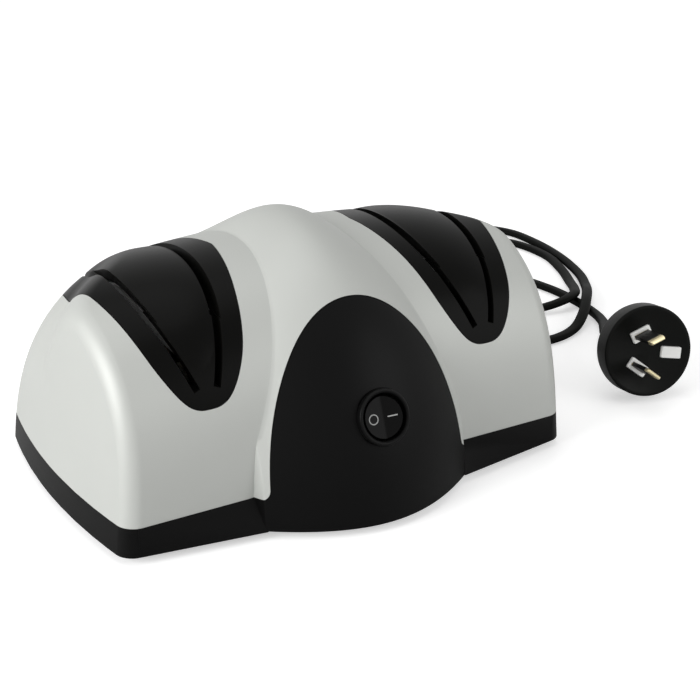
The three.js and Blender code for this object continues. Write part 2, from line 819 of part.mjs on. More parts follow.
// Bobbin around the upper yoke, with a flange at each end
function bobbin() {
  const yokeBottom = statorTopHeight - statorYokeHeight;
  const halfLength = statorHalfDepth - statorLegWidth - pressGap;
  const tube = (grow, halfY) =>
    block(
      -statorHalfThickness - grow, statorHalfThickness + grow,
      -halfY, halfY,
      yokeBottom - grow, statorTopHeight + grow,
    );
  const flanges = [-1, 1].map((side) => {
    const ends = [side * halfLength, side * (halfLength - bobbinFlange)].sort((a, b) => a - b);
    return block(
      -bobbinFlangeHalfWidth, bobbinFlangeHalfWidth, ...ends,
      statorWindowBottom + pressGap, bobbinTopHeight,
    );
  });
  return joined(tube(pressGap + bobbinWall, halfLength), ...flanges).subtract(tube(pressGap, cutDepth));
}

function winding() {
  const yokeBottom = statorTopHeight - statorYokeHeight;
  const halfLength = statorHalfDepth - statorLegWidth - bobbinFlange - 2 * pressGap;
  const hollow = pressGap + bobbinWall + pressGap;
  const outer = block(
    windingMargin - bobbinFlangeHalfWidth, bobbinFlangeHalfWidth - windingMargin,
    -halfLength, halfLength,
    statorWindowBottom + pressGap + windingMargin, bobbinTopHeight - windingMargin,
  );
  const core = block(
    -statorHalfThickness - hollow, statorHalfThickness + hollow,
    -cutDepth, cutDepth,
    yokeBottom - hollow, statorTopHeight + hollow,
  );
  return outer.subtract(core);
}

// End bracket of the right side: plate with a bearing boss, spacers to the stator and a foot on the posts
function endBracket() {
  const outerFace = bracketInnerX + bracketWall;
  const bossStart = bracketInnerX - bracketWall;
  const footTop = bracketFootHeight + bracketWall;
  const footEnd = outerFace + bracketFootLength;
  const sides = [-bracketHalfDepth, bracketHalfDepth];
  const solids = [
    block(bracketInnerX, outerFace, ...sides, bracketFootHeight, bracketTopHeight),
    block(bracketInnerX, footEnd, ...sides, bracketFootHeight, footTop),
    bar("x", bearingBossRadius, bossStart, bossStart + bearingBossLength, 0, axisHeight),
  ];
  const cuts = [bar("x", bushRadius + pressGap, 0, cutDepth, 0, axisHeight)];
  for (const y of [-motorBoltY, motorBoltY]) {
    solids.push(bar("x", spacerRadius, statorHalfThickness, outerFace, y, motorBoltHeight, smallSideCount));
    cuts.push(
      bar("x", motorBoltHoleRadius, 0, cutDepth, y, motorBoltHeight, smallSideCount),
      bar("z", motorBoltHoleRadius, 0, footTop + overrun, bracketScrewX, y, smallSideCount),
    );
  }
  return cutBy(joined(...solids), ...cuts);
}

function bush() {
  const start = bracketInnerX - bracketWall + (bearingBossLength - bushLength) / 2;
  return bar("x", bushRadius, start, start + bushLength).subtract(bar("x", bushBoreRadius, 0, cutDepth));
}

// Bracket screw, driven down from the top of the bracket's foot
function bracketScrew() {
  return joined(
    bar("z", motorScrewHeadRadius, 0, motorScrewHeadHeight, 0, 0, smallSideCount),
    bar("z", motorScrewRadius, -motorScrewLength, motorScrewHeadHeight, 0, 0, smallSideCount),
  );
}

// Through bolt with its head on the left bracket, and the nut on the right one
function motorBolt() {
  const face = bracketInnerX + bracketWall;
  const head = -face - motorBoltHeadHeight;
  return joined(
    bar("x", motorBoltHeadRadius, head, -face, 0, 0, smallSideCount),
    bar("x", motorBoltRadius, head, face + motorNutHeight + motorBoltTip, 0, 0, smallSideCount),
  );
}

function motorNut() {
  const nut = bar("x", motorBoltHeadRadius, 0, motorNutHeight, 0, 0, nutSideCount);
  const end = motorNutHeight + overrun;
  return nut.subtract(bar("x", motorBoltHoleRadius, -overrun, end, 0, 0, smallSideCount));
}

function rotor() {
  const ringEnd = statorHalfThickness + endRingThickness;
  const core = joined(
    bar("x", rotorRadius, -statorHalfThickness, statorHalfThickness),
    bar("x", endRingRadius, -ringEnd, ringEnd),
  );
  return core.subtract(shaftBore());
}

function shaft() {
  return bar("x", shaftRadius, -shaftHalfLength, shaftHalfLength);
}

function shaftBore() {
  return bar("x", shaftRadius + pressGap, -cutDepth, cutDepth);
}

// Spacer tube on the shaft between the bearing boss and the hub
function shaftSpacer() {
  const bossEnd = bracketInnerX - bracketWall + bearingBossLength;
  const hubStart = stageX - wheelThickness / 2 - pressGap - hubFlangeThickness;
  return bar("x", spacerTubeRadius, bossEnd + pressGap, hubStart - pressGap).subtract(shaftBore());
}

// Hub of the right grinding wheel, its flange on the motor side
function wheelHub() {
  const flangeFace = stageX - wheelThickness / 2 - pressGap;
  const start = flangeFace - hubFlangeThickness;
  const body = joined(
    bar("x", hubRadius, start, flangeFace + hubLength),
    bar("x", hubFlangeRadius, start, flangeFace),
  );
  return body.subtract(shaftBore());
}

// Grinding wheel: a thick disc whose rim is bevelled to the two leaning blades
function grindingWheel() {
  const half = wheelThickness / 2;
  const inner = hubRadius + pressGap;
  const profile = [
    [inner, -half],
    [wheelRadius - wheelRimBevel, -half],
    [wheelRadius, -half * wheelRimShare],
    [wheelRadius, half * wheelRimShare],
    [wheelRadius - wheelRimBevel, half],
    [inner, half],
    [inner, -half],
  ].map(([radius, along]) => new THREE.Vector2(radius, along));
  return solidOf(new THREE.LatheGeometry(profile, roundSideCount).rotateZ(Math.PI / 2));
}

function shaftClip() {
  const start = stageX - wheelThickness / 2 + hubLength;
  return bar("x", clipRadius, start, start + clipThickness, 0, 0, smallSideCount).subtract(shaftBore());
}

// The switch's place on the nose: local z points out of it, local y up along it
function switchPlace() {
  const y = -humpFrontReach * Math.cos(Math.asin(switchHeight / humpHeight));
  const lean = Math.atan2(switchHeight / humpHeight ** 2, -y / humpFrontReach ** 2);
  const group = new THREE.Group();
  group.position.set(0, y, switchHeight);
  group.rotation.x = Math.PI / 2 - lean;
  group.updateMatrix();
  return group;
}

function switchBody() {
  const seat = shellGap - switchSeatDepth;
  const wellFloor = -rockerPivotDepth - switchSeatDepth - rockerRadius - rockerClearance;
  const shell = joined(
    bar("z", bezelRadius, seat, bezelProud, 0, 0, roundSideCount, bezelRadius - shellGap),
    bar("z", barrelRadius, -barrelLength, seat + overrun),
  );
  const well = bar("z", rockerWindowRadius, wellFloor, bezelProud + overrun);
  const pinEnd = barrelRadius + overrun;
  const pinHeight = -rockerPivotDepth - switchSeatDepth;
  const pinHole = bar("y", rockerPinHoleRadius, -pinEnd, pinEnd, 0, pinHeight, smallSideCount);
  return cutBy(shell, well, pinHole);
}

// Rocker at rest with its left half pressed in: ball-sided disc with a shallow V across the top
function rocker() {
  const ball = new THREE.SphereGeometry(rockerRadius, roundSideCount, smallSideCount);
  ball.rotateX(Math.PI / 2);
  const raised = rockerRadius * Math.tan(radians(2 * rockerTiltDegrees));
  const shape = new THREE.Shape([
    new THREE.Vector2(-rockerRadius, -rockerBelow),
    new THREE.Vector2(rockerRadius, -rockerBelow),
    new THREE.Vector2(rockerRadius, rockerFaceRise + raised),
    new THREE.Vector2(0, rockerFaceRise),
    new THREE.Vector2(-rockerRadius, rockerFaceRise),
  ]);
  const wedge = new THREE.ExtrudeGeometry(shape, { depth: 2 * rockerRadius, bevelEnabled: false });
  wedge.translate(0, 0, -rockerRadius);
  wedge.rotateX(Math.PI / 2);
  const disc = solidOf(ball).intersect(solidOf(wedge));
  const pinHalf = barrelRadius - shellGap;
  return joined(disc, bar("y", rockerPinRadius, -pinHalf, pinHalf, 0, 0, smallSideCount));
}

function terminal() {
  const width = terminalWidth / 2;
  const thickness = terminalThickness / 2;
  return block(-thickness, thickness, -width, width, -terminalLength, 0);
}

// Where the back skin lies at a place on it, moved in by an inset
function backSkinY(x, z, inset) {
  let low = Math.PI / 2;
  let high = Math.PI;
  const skin = (angle) => {
    const rise = Math.max(humpRise(angle, x, inset), 0);
    return skinPoint(x, angle, wingReach(angle, x, inset) + rise);
  };
  for (let step = 0; step < halvingCount; step++) {
    const middle = (low + high) / 2;
    if (skin(middle).z > z) low = middle;
    else high = middle;
  }
  return skin(low).y;
}

function backSkinAround(radius, inset) {
  return Array.from({ length: smallSideCount }, (_, i) => {
    const turn = (2 * Math.PI * i) / smallSideCount;
    return backSkinY(reliefX + radius * Math.cos(turn), reliefHeight + radius * Math.sin(turn), inset);
  });
}

// Strain relief in the back wall: inner collar, neck, outer flange and tapered sleeve
function strainRelief() {
  const innerFace = Math.min(...backSkinAround(reliefFlangeRadius, coverWall)) - reliefSeatGap;
  const outerFace = reliefOuterFace();
  const along = (radius, from, to, tip) =>
    bar("y", radius, from, to, reliefX, reliefHeight, roundSideCount, tip);
  return joined(
    along(reliefFlangeRadius, innerFace - reliefFlangeThickness, innerFace),
    along(reliefNeckRadius, innerFace - reliefFlangeThickness, outerFace + reliefFlangeThickness),
    along(reliefFlangeRadius, outerFace, outerFace + reliefFlangeThickness),
    along(reliefNeckRadius, outerFace, outerFace + reliefLength, reliefTipRadius),
  );
}

function reliefOuterFace() {
  return Math.max(...backSkinAround(reliefFlangeRadius, 0)) + reliefSeatGap;
}

// The plug's place on the table: local z points out of its face, local y towards its slanted pins
function plugPlace() {
  const upright = new THREE.Group();
  upright.position.set(plugFaceX, plugFaceY, plugFaceHeight);
  upright.rotation.z = -radians(plugYawDegrees);
  const face = new THREE.Group();
  face.rotation.set(radians(90 - plugLeanDegrees), 0, radians(plugRollDegrees));
  upright.add(face);
  upright.updateMatrixWorld(true);
  return { upright, face };
}

function plugBody() {
  const profile = [
    [0, -plugThickness],
    [plugBackRadius, -plugThickness],
    [plugRadius, plugShoulderHeight - plugThickness],
    [plugRadius, -plugRimDepth],
    [plugRimRadius, 0],
    [0, 0],
  ].map(([radius, along]) => new THREE.Vector2(radius, along));
  const disc = new THREE.LatheGeometry(profile, roundSideCount).rotateX(Math.PI / 2);
  const top = overrun - plugThickness;
  const sleeve = [plugReliefTipRadius, top - plugReliefLength, top, 0, 0, smallSideCount, plugReliefRadius];
  return joined(solidOf(disc), bar("z", ...sleeve)).subtract(pinCarrierSolid(pressGap));
}

// A place around the plug's middle, turned from local y and twisted on itself.
function aroundFace(turnDegrees, radius, twistDegrees) {
  return new THREE.Matrix4()
    .makeRotationZ(radians(turnDegrees))
    .multiply(new THREE.Matrix4().makeTranslation(0, radius, 0))
    .multiply(new THREE.Matrix4().makeRotationZ(radians(twistDegrees)));
}

const pinPlaces = {
  plug_pin_live: aroundFace(pinTurnDegrees, pinCircleRadius, 0),
  plug_pin_neutral: aroundFace(-pinTurnDegrees, pinCircleRadius, 0),
};
const blankPlace = aroundFace(180, blankOffset, 90);

// The light carrier that holds the pins: its three collars show in the plug's face, one of them blank
function pinCarrierSolid(grow) {
  const back = -carrierDepth - carrierThickness;
  const collar = pinBar(collarWidth + 2 * grow, collarThickness + 2 * grow, back, collarRise);
  const collars = [...Object.values(pinPlaces), blankPlace].map((place) => placed(collar, place));
  return joined(bar("z", carrierRadius + grow, back - grow, grow - carrierDepth), ...collars);
}

function pinCarrier() {
  const slot = pinBar(pinWidth + 2 * pressGap, pinThickness + 2 * pressGap, -plugThickness, plugThickness);
  const slots = Object.values(pinPlaces).map((place) => placed(slot, place));
  return cutBy(pinCarrierSolid(0), ...slots);
}

function pinBar(width, thickness, from, to) {
  return block(-width / 2, width / 2, -thickness / 2, thickness / 2, from, to);
}

// The cord's route on the table, from the strain relief to the sleeve of the plug
class CordCurve extends THREE.CatmullRomCurve3 {
  // Frames that keep the flat section level, so that the cord lies on its broad side.
  computeFrenetFrames(segments) {
    const frames = { tangents: [], normals: [], binormals: [] };
    for (let i = 0; i <= segments; i++) {
      const tangent = this.getTangentAt(i / segments);
      const binormal = new THREE.Vector3(0, 0, 1).cross(tangent).normalize();
      frames.tangents.push(tangent);
      frames.normals.push(binormal.clone().cross(tangent));
      frames.binormals.push(binormal);
    }
    return frames;
  }
}

function cord(plugFace) {
  const half = cordThickness / 2;
  const flat = (cordWidth - cordThickness) / 2;
  const section = new THREE.Shape();
  section.absarc(0, flat, half, 0, Math.PI, false);
  section.absarc(0, -flat, half, Math.PI, 2 * Math.PI, false);
  const exit = new THREE.Vector3(reliefX, reliefOuterFace() + reliefLength + shellGap, reliefHeight);
  const sleeveTip = overrun - plugThickness - plugReliefLength - shellGap;
  const [sleeveEnd, sleeveRun] = [sleeveTip, sleeveTip - cordStraightRun].map((z) =>
    plugFace.localToWorld(new THREE.Vector3(0, 0, z)),
  );
  const straight = exit.clone().setY(exit.y + cordStraightRun);
  const laid = cordRoute.map((place) => new THREE.Vector3(...place));
  const curve = new CordCurve([exit, straight, ...laid, sleeveRun, sleeveEnd], false, "centripetal");
  console.log(`cord length ${curve.getLength().toFixed(1)} mm`);
  return solidOf(
    new THREE.ExtrudeGeometry(section, {
      steps: cordStepCount,
      extrudePath: curve,
      curveSegments: 2,
      bevelEnabled: false,
    }),
  );
}

const parts = new THREE.Group();
parts.position.y = (humpFrontReach - humpBackReach) / 2;

parts.add(piece("cover", cover(), materials.silver));
parts.add(piece("base", base(), materials.black));
parts.add(piece("insert_coarse", slotInsert(-stageX), materials.gloss));
parts.add(piece("insert_fine", slotInsert(stageX), materials.gloss));

const motorLine = new THREE.Group();
motorLine.position.z = axisHeight;
motorLine.add(piece("rotor", rotor(), materials.lamination));
motorLine.add(piece("shaft", shaft(), materials.steel));
parts.add(motorLine);

const nose = switchPlace();
nose.add(piece("switch_body", switchBody(), materials.black));
nose.add(at(0, 0, -rockerPivotDepth - switchSeatDepth, piece("rocker", rocker(), materials.gloss)));
parts.add(nose);

parts.add(piece("stator", stator(), materials.lamination));
parts.add(piece("bobbin", bobbin(), materials.nylon));
parts.add(piece("winding", winding(), materials.copper));

const ends = { front: -1, back: 1 };
for (const [end, direction] of Object.entries(ends)) {
  const y = direction * motorBoltY;
  const nutX = bracketInnerX + bracketWall;
  parts.add(at(0, y, motorBoltHeight, piece(`motor_bolt_${end}`, motorBolt(), materials.steel)));
  parts.add(at(nutX, y, motorBoltHeight, piece(`motor_nut_${end}`, motorNut(), materials.steel)));
}

for (const [label, side] of Object.entries({ left: -1, right: 1 })) {
  const turned = new THREE.Group();
  turned.rotation.z = side < 0 ? Math.PI : 0;
  turned.add(piece(`end_bracket_${label}`, endBracket(), materials.castAlloy));
  parts.add(turned);

  const line = new THREE.Group();
  line.rotation.z = turned.rotation.z;
  line.add(piece(`bush_${label}`, bush(), materials.bronze));
  line.add(piece(`shaft_spacer_${label}`, shaftSpacer(), materials.nylon));
  line.add(piece(`wheel_hub_${label}`, wheelHub(), materials.nylon));
  line.add(piece(`shaft_clip_${label}`, shaftClip(), materials.steel));
  motorLine.add(line);

  const tab = piece(`terminal_${label}`, terminal(), materials.brass);
  nose.add(at(side * terminalOffset, 0, -barrelLength - pressGap, tab));

  for (const [end, direction] of Object.entries(ends)) {
    const place = `${label}_${end}`;
    const footPad = piece(`foot_${place}`, foot(), materials.rubber);
    const longScrew = piece(`case_screw_${place}`, caseScrew(), materials.steel);
    const shortScrew = piece(`bracket_screw_${place}`, bracketScrew(), materials.steel);
    parts.add(at(side * footX, direction * footY, 0, footPad));
    parts.add(at(side * bossX, direction * bossY, footHeight + counterboreDepth, longScrew));
    const bracketTop = bracketFootHeight + bracketWall;
    parts.add(at(side * bracketScrewX, direction * motorBoltY, bracketTop, shortScrew));
  }
}
motorLine.add(at(-stageX, 0, 0, piece("wheel_coarse", grindingWheel(), materials.coarseGrit)));
motorLine.add(at(stageX, 0, 0, piece("wheel_fine", grindingWheel(), materials.fineGrit)));

const plug = plugPlace();
parts.add(piece("strain_relief", strainRelief(), materials.rubber));
parts.add(piece("power_cord", cord(plug.face), materials.rubber));
plug.face.add(piece("plug_body", plugBody(), materials.black));
plug.face.add(piece("pin_carrier", pinCarrier(), materials.nylon));
for (const [name, place] of Object.entries(pinPlaces)) {
  const pin = piece(name, pinBar(pinWidth, pinThickness, -pinTailLength, pinLength), materials.brass);
  pin.applyMatrix4(place);
  plug.face.add(pin);
}
parts.add(plug.upright);

export default parts;
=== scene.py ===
import bpy
import numpy as np
from mathutils import Matrix


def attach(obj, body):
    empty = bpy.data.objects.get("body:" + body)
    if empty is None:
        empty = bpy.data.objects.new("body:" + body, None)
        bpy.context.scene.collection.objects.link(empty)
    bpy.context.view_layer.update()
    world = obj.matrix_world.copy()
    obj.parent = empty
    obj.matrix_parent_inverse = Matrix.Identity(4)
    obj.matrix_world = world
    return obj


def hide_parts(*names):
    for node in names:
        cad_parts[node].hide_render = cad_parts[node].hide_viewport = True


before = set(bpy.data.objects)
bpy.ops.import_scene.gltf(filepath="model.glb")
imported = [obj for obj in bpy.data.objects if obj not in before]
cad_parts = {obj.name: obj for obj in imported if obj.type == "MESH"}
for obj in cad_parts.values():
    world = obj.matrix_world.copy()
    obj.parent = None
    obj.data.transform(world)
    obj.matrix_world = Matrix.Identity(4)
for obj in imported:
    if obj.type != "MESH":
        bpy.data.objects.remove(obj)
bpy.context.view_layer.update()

# The camera stands a long step back, left of the switch and well above it, as the photograph's does.
# Its lens gives 1500 pixels of focal length on a frame 700 pixels wide.
CAMERA_TURN = np.radians(30.4)
CAMERA_TILT = np.radians(23.3)
CAMERA_PLACE = (-0.24502, -0.45793, 0.26571)
turn_sin, turn_cos = np.sin(CAMERA_TURN), np.cos(CAMERA_TURN)
tilt_sin, tilt_cos = np.sin(CAMERA_TILT), np.cos(CAMERA_TILT)
camera_data = bpy.data.cameras.new("camera")
camera_data.sensor_width = 36
camera_data.lens = 36 * 1500 / 700
camera = bpy.data.objects.new("camera", camera_data)
bpy.context.collection.objects.link(camera)
bpy.context.scene.camera = camera
camera.matrix_world = Matrix(
    (
        (turn_cos, turn_sin * tilt_sin, -turn_sin * tilt_cos, CAMERA_PLACE[0]),
        (-turn_sin, turn_cos * tilt_sin, -turn_cos * tilt_cos, CAMERA_PLACE[1]),
        (0, tilt_cos, tilt_sin, CAMERA_PLACE[2]),
        (0, 0, 0, 1),
    )
)

# The lead is a flat twin cord in a black PVC sheath, a thin mains cord for a small appliance.
# It leaves the strain relief, drops to the table and lies in two loose loops before it reaches the plug.
BODY_Y = 9.25
CORD_WIDTH, CORD_THICKNESS = 5.0, 3.1
CORD_EXIT = (38.0, 85.69, 24.0)
CORD_ROUTE = [
    (41, 110, 14.5), (52, 126, 4.5), (74, 143, 1.9), (110, 163, 1.9), (150, 177, 1.9), (182, 181, 1.9),
    (207, 175, 1.9), (221, 158, 1.9), (223.5, 138, 1.9), (221, 112, 1.9), (213.5, 86, 1.9), (204.5, 70, 3),
    (196.5, 59, 5.2), (187.5, 48.5, 5.9), (178, 38.5, 4.6), (166, 30, 2.2), (151, 25.5, 1.9), (136, 28, 1.9),
    (125, 41, 1.9), (129, 57, 1.9), (144, 63.5, 1.9), (158, 59.5, 2.2), (169, 55.5, 3.6), (179, 54, 5.6),
    (187.6, 57.8, 5.9), (194.6, 66.4, 4.2), (201.8, 78.6, 2.2), (210, 96.4, 1.9), (215.8, 117.5, 1.9),
    (212.5, 142, 1.9), (200, 156, 1.9), (183, 153, 1.9), (174.5, 138, 1.9), (176.5, 118, 1.9), (184, 96, 1.9),
    (188.5, 74, 1.9), (188.5, 54, 1.9), (185.5, 38, 2.3), (178, 24, 4.8), (169.5, 13, 8),
]


def srgb(hex_colour):
    """Linear colour of an sRGB hex value, with full alpha."""
    values = np.array([int(hex_colour[i : i + 2], 16) for i in (1, 3, 5)]) / 255
    linear = np.where(values <= 0.04045, values / 12.92, ((values + 0.055) / 1.055) ** 2.4)
    return (*linear, 1.0)


def node(material, kind, settings=None, links=None):
    """Adds a node, sets its properties and sockets, and links sockets from other nodes' outputs."""
    made = material.node_tree.nodes.new(kind)
    for key, value in (settings or {}).items():
        if hasattr(made, key):
            setattr(made, key, value)
        else:
            made.inputs[key].default_value = value
    for key, output in (links or {}).items():
        material.node_tree.links.new(output, made.inputs[key])
    return made


def new_material(name, roughness, metallic=0.0, colour="#808080", **settings):
    """A material with its Principled shader set, and the Object coordinates that its pattern reads."""
    material = bpy.data.materials.new(name)
    material.use_nodes = True
    shader = material.node_tree.nodes["Principled BSDF"]
    shader.inputs["Roughness"].default_value = roughness
    shader.inputs["Metallic"].default_value = metallic
    shader.inputs["Base Color"].default_value = srgb(colour)
    for key, value in settings.items():
        shader.inputs[key.replace("_", " ")].default_value = value
    place = node(material, "ShaderNodeTexCoord").outputs["Object"]
    return material, shader, place


def moulded(name, dark, light, roughness, grain_mm, bump_mm, spread=0.06, **settings):
    """A moulded or painted surface: fine grain in bump and roughness, slow drift between two colours."""
    material, shader, place = new_material(name, roughness, **settings)
    drift = node(material, "ShaderNodeTexNoise", {"Scale": 14.0, "Detail": 3.0}, {"Vector": place})
    mixed = node(
        material,
        "ShaderNodeMix",
        {"data_type": "RGBA", "blend_type": "MIX"},
        {0: drift.outputs["Fac"]},
    )
    mixed.inputs[6].default_value = srgb(dark)
    mixed.inputs[7].default_value = srgb(light)
    grain = node(
        material, "ShaderNodeTexNoise", {"Scale": 1000 / grain_mm, "Detail": 2.0}, {"Vector": place}
    )
    rough = node(
        material,
        "ShaderNodeMapRange",
        {"To Min": roughness - spread, "To Max": roughness + spread},
        {"Value": grain.outputs["Fac"]},
    )
    bump = node(
        material,
        "ShaderNodeBump",
        {"Strength": 0.35, "Distance": bump_mm / 1000},
        {"Height": grain.outputs["Fac"]},
    )
    links = material.node_tree.links
    links.new(mixed.outputs[2], shader.inputs["Base Color"])
    links.new(rough.outputs["Result"], shader.inputs["Roughness"])
    links.new(bump.outputs["Normal"], shader.inputs["Normal"])
    return material


def mesh_object(name, points, faces, material):
    """A closed mesh from points in millimetres in the body's place, turned to face out."""
    points = np.asarray(points, float)
    mesh = bpy.data.meshes.new(name)
    placed = (points + (0, BODY_Y, 0)) / 1000
    mesh.from_pydata(placed.tolist(), [], faces)
    mesh.update()
    mesh.calc_loop_triangles()
    corners = np.empty(len(mesh.loop_triangles) * 3, np.int32)
    mesh.loop_triangles.foreach_get("vertices", corners)
    a, b, c = placed[corners.reshape(-1, 3)].transpose(1, 0, 2)
    if np.einsum("ij,ij->i", a, np.cross(b, c)).sum() < 0:
        mesh.flip_normals()
    if material:
        mesh.materials.append(material)
    made = bpy.data.objects.new(name, mesh)
    bpy.context.collection.objects.link(made)
    return made


def skin_over(rings):
    """Points and faces of a closed skin: quads between closed rings, and one flat face at each end."""
    count, around = rings.shape[:2]
    i, j = np.meshgrid(np.arange(count - 1), np.arange(around), indexing="ij")
    a = i * around + j
    b = i * around + (j + 1) % around
    quads = np.stack([a, b, b + around, a + around], axis=-1).reshape(-1, 4).tolist()
    ends = [np.arange(around)[::-1].tolist(), (np.arange(around) + (count - 1) * around).tolist()]
    return rings.reshape(-1, 3), quads + ends


def smooth(piece, degrees=32.0):
    """Smooth shading, with edges sharper than the angle kept sharp."""
    piece.data.shade_smooth()
    piece.data.set_sharp_from_angle(angle=np.radians(degrees))
    return piece


def route_line(points, steps):
    """Centripetal spline through the points: spans are timed by the root of their length."""
    points = np.asarray(points, float)
    points = np.vstack([2 * points[0] - points[1], points, 2 * points[-1] - points[-2]])
    gaps = np.linalg.norm(np.diff(points, axis=0), axis=1) ** 0.5
    p0, p1, p2, p3 = points[:-3], points[1:-2], points[2:-1], points[3:]
    d0, d1, d2 = gaps[:-2, None], gaps[1:-1, None], gaps[2:, None]
    leave = (p1 - p0) / d0 - (p2 - p0) / (d0 + d1) + (p2 - p1) / d1
    arrive = (p2 - p1) / d1 - (p3 - p1) / (d1 + d2) + (p3 - p2) / d2
    leave, arrive = (leave * d1)[:, None], (arrive * d1)[:, None]
    t = np.linspace(0, 1, steps, endpoint=False)[None, :, None]
    p1, p2 = p1[:, None], p2[:, None]
    line = p1 + leave * t + (3 * (p2 - p1) - 2 * leave - arrive) * t**2
    line += (2 * (p1 - p2) + leave + arrive) * t**3
    return np.vstack([line.reshape(-1, 3), points[-2]])


# The plug's place on the table: its face leans back a little and looks towards the camera's left.
# Local z points out of its face, local y towards the two slanted pins.
PLUG_FACE = (147.4, -40.8, 21.29)
PLUG_YAW, PLUG_LEAN, PLUG_ROLL = 16.5, 12.6, 81.8
PLUG_THICKNESS, PLUG_SLEEVE = 14.0, 22.0
plug_turn = (
    Matrix.Rotation(np.radians(-PLUG_YAW), 3, "Z")
    @ Matrix.Rotation(np.radians(90 - PLUG_LEAN), 3, "X")
    @ Matrix.Rotation(np.radians(PLUG_ROLL), 3, "Z")
)


def on_plug(points):
    """Places in the plug's frame as places of the body, in millimetres."""
    return np.asarray(points, float) @ np.array(plug_turn).T + PLUG_FACE


sleeve_tip = 1 - PLUG_THICKNESS - PLUG_SLEEVE - 0.3
cord_points = [
    CORD_EXIT,
    (CORD_EXIT[0], CORD_EXIT[1] + 8, CORD_EXIT[2]),
    *CORD_ROUTE,
    *on_plug([(0, 0, sleeve_tip - 8), (0, 0, sleeve_tip)]),
]
cord_line = route_line(cord_points, 16)
along = np.gradient(cord_line, axis=0)
along /= np.linalg.norm(along, axis=1)[:, None]
across = np.cross((0, 0, 1), along)
across /= np.linalg.norm(across, axis=1)[:, None]
upright = np.cross(along, across)
turn = np.linspace(0, 2 * np.pi, 24, endpoint=False)
half_flat = (CORD_WIDTH - CORD_THICKNESS) / 2
section_x = CORD_THICKNESS / 2 * np.cos(turn) + half_flat * np.sign(np.cos(turn).round(9))
section_y = CORD_THICKNESS / 2 * np.sin(turn)
cord_rings = cord_line[:, None] + across[:, None] * section_x[None, :, None]
cord_rings = cord_rings + upright[:, None] * section_y[None, :, None]
# PVC sheath, extruded: satin black, with the faint long-wave unevenness that a soft cord has.
cord_pvc = moulded("extruded_pvc_sheath", "#070807", "#0b0c0a", 0.5, 1.2, 0.02, Specular_IOR_Level=0.04)
power_cord = smooth(mesh_object("lead", *skin_over(cord_rings), cord_pvc), 60)
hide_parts("power_cord")
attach(power_cord, "housing")


# Strain relief: one moulded PVC sleeve, ribbed so that it bends, with a collar on each side of the wall.
# It is snapped into the wall before the cord's inner end is clamped.
RELIEF_X, RELIEF_Z = 38.0, 24.0
RELIEF_TIP = CORD_EXIT[1] - 0.3
relief_y = np.array([-33.4, -33.4, -33.2, -31.6, -31.4, -31.4, -26, -26, -25.8, -24.2, -24])
relief_radius = np.array([0.1, 5.8, 6.2, 6.2, 5.8, 4.2, 4.2, 5.8, 6.2, 6.2, 5.9])
rib_y = np.linspace(-23.7, 0, 96)
rib_wave = 0.5 + 0.5 * np.tanh(6 * np.sin(2 * np.pi * (rib_y + 23.7) / 3.4))
rib_radius = np.interp(rib_y, [-24, 0], [4.2, 3.0]) - 0.55 * rib_wave * (rib_y < -2.5)


def turned_rings(lengths, radii, around):
    """Rings of a turned shape about local z: each radius of the profile swept once around."""
    turn = np.linspace(0, 2 * np.pi, around, endpoint=False)
    radii = np.asarray(radii, float)[:, None]
    flat = np.broadcast_to(np.asarray(lengths, float)[:, None], (len(radii), around))
    return np.stack([radii * np.cos(turn), radii * np.sin(turn), flat], axis=-1)


relief_rings = turned_rings(
    np.concatenate([relief_y, rib_y, [0]]), np.concatenate([relief_radius, rib_radius, [0.1]]), 40
)
relief_rings = np.stack(
    [
        relief_rings[..., 0] + RELIEF_X,
        relief_rings[..., 2] + RELIEF_TIP,
        relief_rings[..., 1] + RELIEF_Z,
    ],
    axis=-1,
)
moulded_pvc = moulded("soft_moulded_pvc", "#080908", "#0d0e0c", 0.4, 0.9, 0.03, Specular_IOR_Level=0.08)
relief_sleeve = smooth(mesh_object("relief_sleeve", *skin_over(relief_rings), moulded_pvc), 40)
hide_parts("strain_relief")
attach(relief_sleeve, "housing")

# Plug: PVC moulded round the carrier of the pins, a thick disc with a round rim and a ribbed sleeve.
# Its face shows the carrier's three white collars through shallow windows.
plug_z = [0.15, 0.12, 0.0, -0.2, -0.5, -1.0, -8.4, -9.4, -11.0, -12.6, -13.5, -14.0]
plug_radius = [17.9, 18.4, 18.75, 18.93, 18.99, 19.0, 19.0, 18.7, 17.6, 15.4, 13.2, 10.5]
sleeve_z = np.linspace(-14.02, -34.9, 84)
sleeve_wave = 0.5 + 0.5 * np.tanh(6 * np.sin(2 * np.pi * (sleeve_z + 15.4) / 3.4))
sleeve_radius = np.interp(sleeve_z, [-34.9, -14], [3.0, 4.2])
sleeve_radius = sleeve_radius - 0.5 * sleeve_wave * (sleeve_z < -16) * (sleeve_z > -32.5)
plug_rings = turned_rings(
    np.concatenate([[-0.35, -0.35, 0.0], plug_z[1:], sleeve_z, [-34.95]]),
    np.concatenate([[0.1, 16.6, 17.2], plug_radius[1:], sleeve_radius, [0.1]]),
    96,
)
plug_disc = mesh_object("plug_moulding", *skin_over(on_plug(plug_rings)), moulded_pvc)
PIN_CIRCLE, PIN_TURN, BLANK_OFFSET = 7.92, 60.0, 10.0


def around_face(points, turn_degrees, radius, twist_degrees=0.0):
    """Points moved out from the plug's middle along local y, after a twist, then turned about the middle."""
    points = np.asarray(points, float)
    twist, turned = np.radians(twist_degrees), np.radians(turn_degrees)
    x = points[..., 0] * np.cos(twist) - points[..., 1] * np.sin(twist)
    y = points[..., 0] * np.sin(twist) + points[..., 1] * np.cos(twist) + radius
    turned_x = x * np.cos(turned) - y * np.sin(turned)
    turned_y = x * np.sin(turned) + y * np.cos(turned)
    return np.stack([turned_x, turned_y, points[..., 2]], axis=-1)


